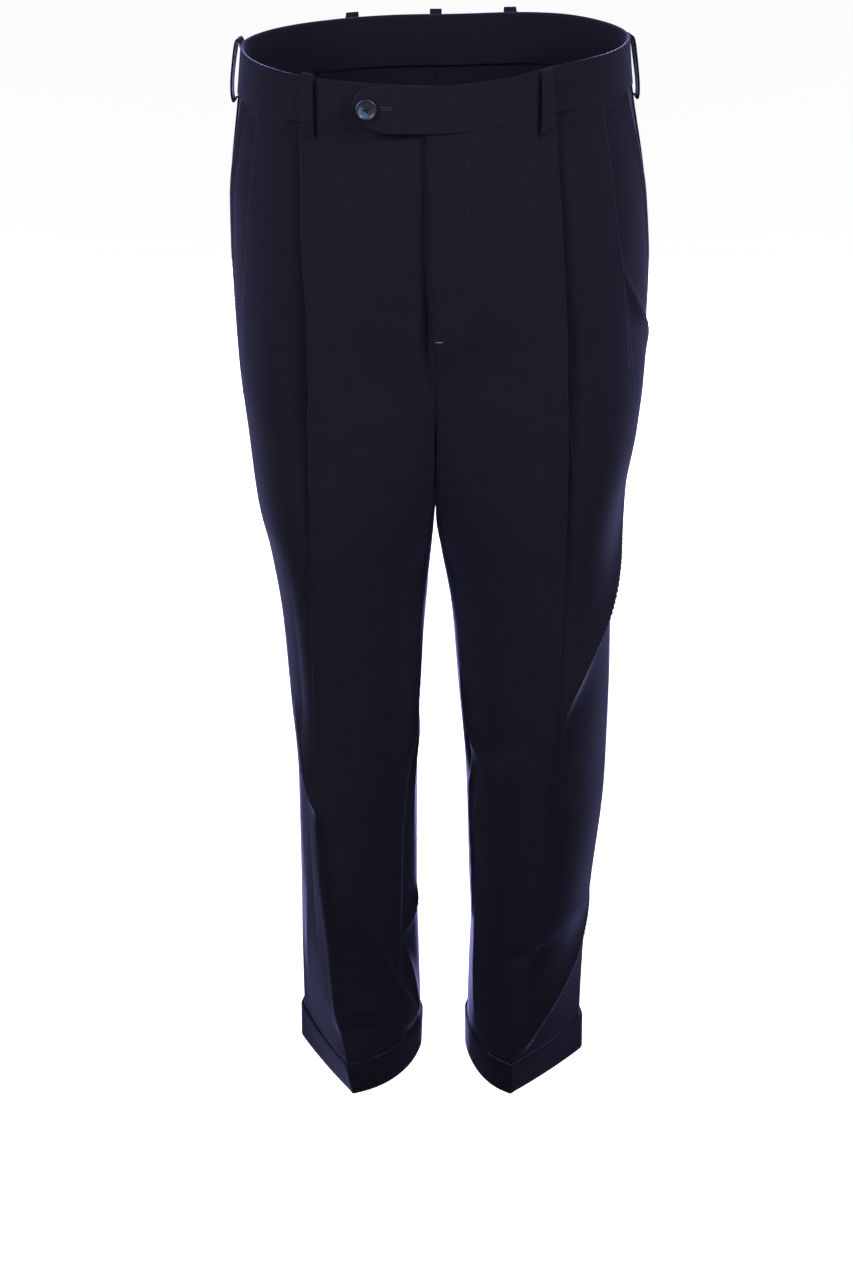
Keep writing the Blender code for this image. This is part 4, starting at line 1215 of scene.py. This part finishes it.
def stitched(line, normal, length=STITCH, gap=STITCH_GAP, thread=THREAD):
    """Vertices and faces of a row of stitches along a line on the cloth. Each is a round thread
    of six sides that rises as a half sine from the cloth and dips back into it."""
    run = np.concatenate([[0], np.cumsum(np.linalg.norm(np.diff(line, axis=0), axis=1))])
    count = max(int(run[-1] / (length + gap)), 1)
    share = np.linspace(0, 1, 6)
    at = (np.arange(count)[:, None] + 0.5) * run[-1] / count + (share - 0.5) * length
    centre, up = (
        np.stack([np.interp(at, run, values[:, axis]) for axis in range(3)], axis=2)
        for values in (line, normal)
    )
    ahead = np.gradient(centre, axis=1)
    ahead /= np.linalg.norm(ahead, axis=2)[..., None]
    aside = np.cross(ahead, up)
    centre = centre + up * (CLOTH / 2 + thread * (0.75 * np.sin(np.pi * share) - 0.35))[:, None]
    turn = np.linspace(0, 2 * np.pi, 7)[:-1]
    ring = centre[:, :, None] + thread / 2 * (
        np.cos(turn)[:, None] * aside[:, :, None] + np.sin(turn)[:, None] * up[:, :, None]
    )
    index = np.arange(36).reshape(6, 6)
    after = np.roll(index, -1, axis=1)
    sides = np.stack([index[:-1], after[:-1], after[1:], index[1:]], axis=2).reshape(-1, 4)
    ends = [index[0][::-1], index[-1]]
    faces = [(face + 36 * stitch).tolist() for stitch in range(count) for face in [*sides, *ends]]
    return ring.reshape(-1, 3), faces


def sewing(name, rows, material):
    """One piece from rows of stitches."""
    points, faces, used = [], [], 0
    for row_points, row_faces in rows:
        points.append(row_points)
        faces += [[corner + used for corner in face] for face in row_faces]
        used += len(row_points)
    mesh = bpy.data.meshes.new(name)
    mesh.from_pydata(np.vstack(points).tolist(), [], faces)
    mesh.shade_smooth()
    mesh.materials.append(material)
    obj = placed(name, mesh)
    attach(obj, root)
    return obj


navy_thread = sewing_thread("navy_polyester_thread", "#0f0e17", "#1c1b2a")
pale_thread = sewing_thread("grey_polyester_thread", "#3b3a4c", "#6a6880")

# The fly's row, in centimetres from the centre and high: straight down, then round to the tack.
FLY_STITCHING = (
    (2.45, -2.0), (2.55, -6.0), (2.68, -11.0), (2.78, -15.4), (2.72, -16.8), (2.35, -18.2),
    (1.7, -19.2), (0.95, -19.75), (0.3, -19.95),
)
path_line = smooth_line(FLY_STITCHING, 12) * CM
fly_spots, fly_normals = on_panel(panels["front", "left"], path_line[:, 0], path_line[:, 1])
sewing("fly_stitching", [stitched(fly_spots, fly_normals)], navy_thread)

# The bar tack: one thick, close row across the foot of the fly, over both fronts.
TACK_PLACES = 12
tack_along = np.clip(np.linspace(-0.35, 0.3, TACK_PLACES) * CM, 0.4 * MM, None)
tack_height = np.full(TACK_PLACES, -20.05) * CM
spots, normals = on_panel(panels["front", "left"], tack_along, tack_height)
spots[:, 0] = np.linspace(-0.1, 0.55, TACK_PLACES) * CM
tack = stitched(spots, normals, length=6.0 * MM, gap=0.1 * MM, thread=0.9 * MM)
sewing("fly_bar_tack", [tack], pale_thread)

# The buttonhole: stitches close side by side across a slit and round the eyelet at its end.
HOLE_ENDS = (-6.0 * CM, -3.9 * CM)
HOLE_RIM = 0.95 * MM
EYELET = 1.3 * MM
HOLE_STITCH = 1.6 * MM
TAB_FACE = 1.0 * MM + TAB_LIFT

run = np.arange(HOLE_ENDS[0], HOLE_ENDS[1], 0.5 * MM)
turn = np.linspace(-0.8 * np.pi, 0.8 * np.pi, 18)
rim = np.concatenate([
    np.stack([run, -HOLE_RIM + 0 * run], axis=1),
    np.stack([HOLE_ENDS[1] + EYELET * (0.6 + np.cos(turn)), EYELET * np.sin(turn)], axis=1),
    np.stack([run[::-1], HOLE_RIM + 0 * run], axis=1),
])
way = np.concatenate([
    np.tile([0, -1.0], (len(run), 1)), np.stack([np.cos(turn), np.sin(turn)], axis=1),
    np.tile([0, 1.0], (len(run), 1)),
])
hole_rows = []
for spot, away in zip(rim, way):
    across = spot + np.array([[-0.5], [0.5]]) * HOLE_STITCH * away
    level = BUTTON_HEIGHT + across[:, 1]
    path = section("left", level)
    inner, outer = (
        place(path, level, across[:, :1], np.full((2, 1), stand))[:, 0]
        for stand in (TAB_FACE - CLOTH / 2, TAB_FACE + CM)
    )
    square = (outer - inner) / np.linalg.norm(outer - inner, axis=1)[:, None]
    hole_rows.append(stitched(inner, square, length=HOLE_STITCH, gap=0, thread=0.5 * MM))
sewing("buttonhole_stitching", hole_rows, sewing_thread("buttonhole_twist", "#101015", "#1d1e24"))

# The button is sewn on with a cross of four strands each way, which fill its holes.
CROSS_REACH = 1.15 * THREAD_HOLES_OUT
CROSS_STRANDS = (-0.45 * MM, -0.15 * MM, 0.15 * MM, 0.45 * MM)

cross_rows = []
for turn in hole_turn[:2]:
    ahead = np.array([np.cos(turn), np.sin(turn)])
    aside = np.array([-np.sin(turn), np.cos(turn)])
    for strand in CROSS_STRANDS:
        ends = np.outer([-CROSS_REACH, CROSS_REACH], ahead) + strand * aside
        line = seat + ends[:, :1] * right_way + ends[:, 1:] * up_way
        line += (BUTTON_FACE - CLOTH / 2) * facing
        both = np.tile(facing, (2, 1))
        cross_rows.append(stitched(line, both, length=2 * CROSS_REACH, gap=0))
sewing("button_thread", cross_rows, sewing_thread("dark_navy_thread", "#06060a", "#101018"))

pocket_rows = []
for side in ("right", "left"):
    drop = np.linspace(-2.1, -20.6, 40) * CM
    spots, normals = on_panel(panels["front", side], np.full(40, -6.5) * MM, drop)
    pocket_rows.append(stitched(spots, normals))
sewing("pocket_edge_stitching", pocket_rows, navy_thread)


# ---------------------------------------------------------------------------------------------
# The room: a floor of white paper that curves up all round, soft boxes above and in front, wide
# ones at either side that rim the hips, a large one behind, and the camera.
# ---------------------------------------------------------------------------------------------

FLOOR = -109.0 * CM
# The paper's profile: metres out from the middle, and up from the floor.
PAPER = (
    (0.0, 0.0), (2.0, 0.0), (6.0, 0.0), (8.0, 0.25), (9.4, 1.0), (10.2, 2.4), (10.4, 5.0), (10.4, 9.0),
)

profile = smooth_line(PAPER, 6)
profile[0] = (0, 0)
angle = np.linspace(0, 2 * np.pi, 65)
points = np.stack([
    np.maximum(profile[:, :1], 0) * np.cos(angle), np.maximum(profile[:, :1], 0) * np.sin(angle),
    FLOOR + profile[:, 1:] + 0 * angle,
], axis=2)
points[:, -1] = points[:, 0]
paper, _, paper_shader = new_material("white_seamless_paper")
set_sockets(paper_shader, {
    "Base Color": linear("#c0c0c0"), "Roughness": 0.95, "Specular IOR Level": 0.1,
    "Emission Color": linear("#ffffff"), "Emission Strength": 0.95,
})
floor = grid_mesh("floor", points, paper, False)
# The paper looks white without lighting the cloth from below, or shading it from the room.
floor.visible_diffuse = floor.visible_glossy = floor.visible_shadow = False


def soft_box(name, size, power, spread, spot, aim):
    """A square area light of that size, power and spread, at a spot, turned to face aim."""
    light = bpy.data.lights.new(name, "AREA")
    light.size, light.energy, light.spread = size, power, np.radians(spread)
    obj = placed(name, light)
    spot, aim = np.array(spot), np.array(aim)
    obj.location = spot
    away = spot - aim
    obj.rotation_euler = (
        np.arctan2(np.hypot(away[0], away[1]), away[2]), 0, np.arctan2(away[1], away[0]) + np.pi / 2
    )


for name, way in (("left", -1), ("right", 1)):
    soft_box(f"{name}_box", 1.0, 8.6, 60, (1.65 * way, -1.2, 1.3), (0, 0, 0.05))
    soft_box(f"{name}_front_box", 1.0, 2.4, 60, (1.1 * way, -2.0, 0.1), (0, 0, -0.6))
    soft_box(f"{name}_rim", 1.4, 13, 64, (2.1 * way, 1.4, 0.1), (0, 0, 0))
soft_box("back_box", 1.6, 110, 120, (0, 2.9, -0.5), (0, 0, -0.5))

world = bpy.data.worlds.new("white_room")
world.use_nodes = True
set_sockets(world.node_tree.nodes["Background"], {"Color": linear("#ffffff"), "Strength": 0.03})
bpy.context.scene.world = world
bpy.context.scene.view_settings.view_transform = "Standard"

# The frame is 853 by 1280, and 2574 of its pixels make one radian at its middle.
LONG_SIDE = 1280
FOCAL = 2574
camera_data = bpy.data.cameras.new("camera")
camera_data.sensor_fit = "VERTICAL"
camera_data.sensor_height = 36
camera_data.lens = FOCAL / LONG_SIDE * 36
camera = placed("camera", camera_data)
camera.location = (-0.0082, -2.178, 0.5305)
camera.rotation_euler = (np.radians(90 - 26.18), 0, 0)
bpy.context.scene.camera = camera
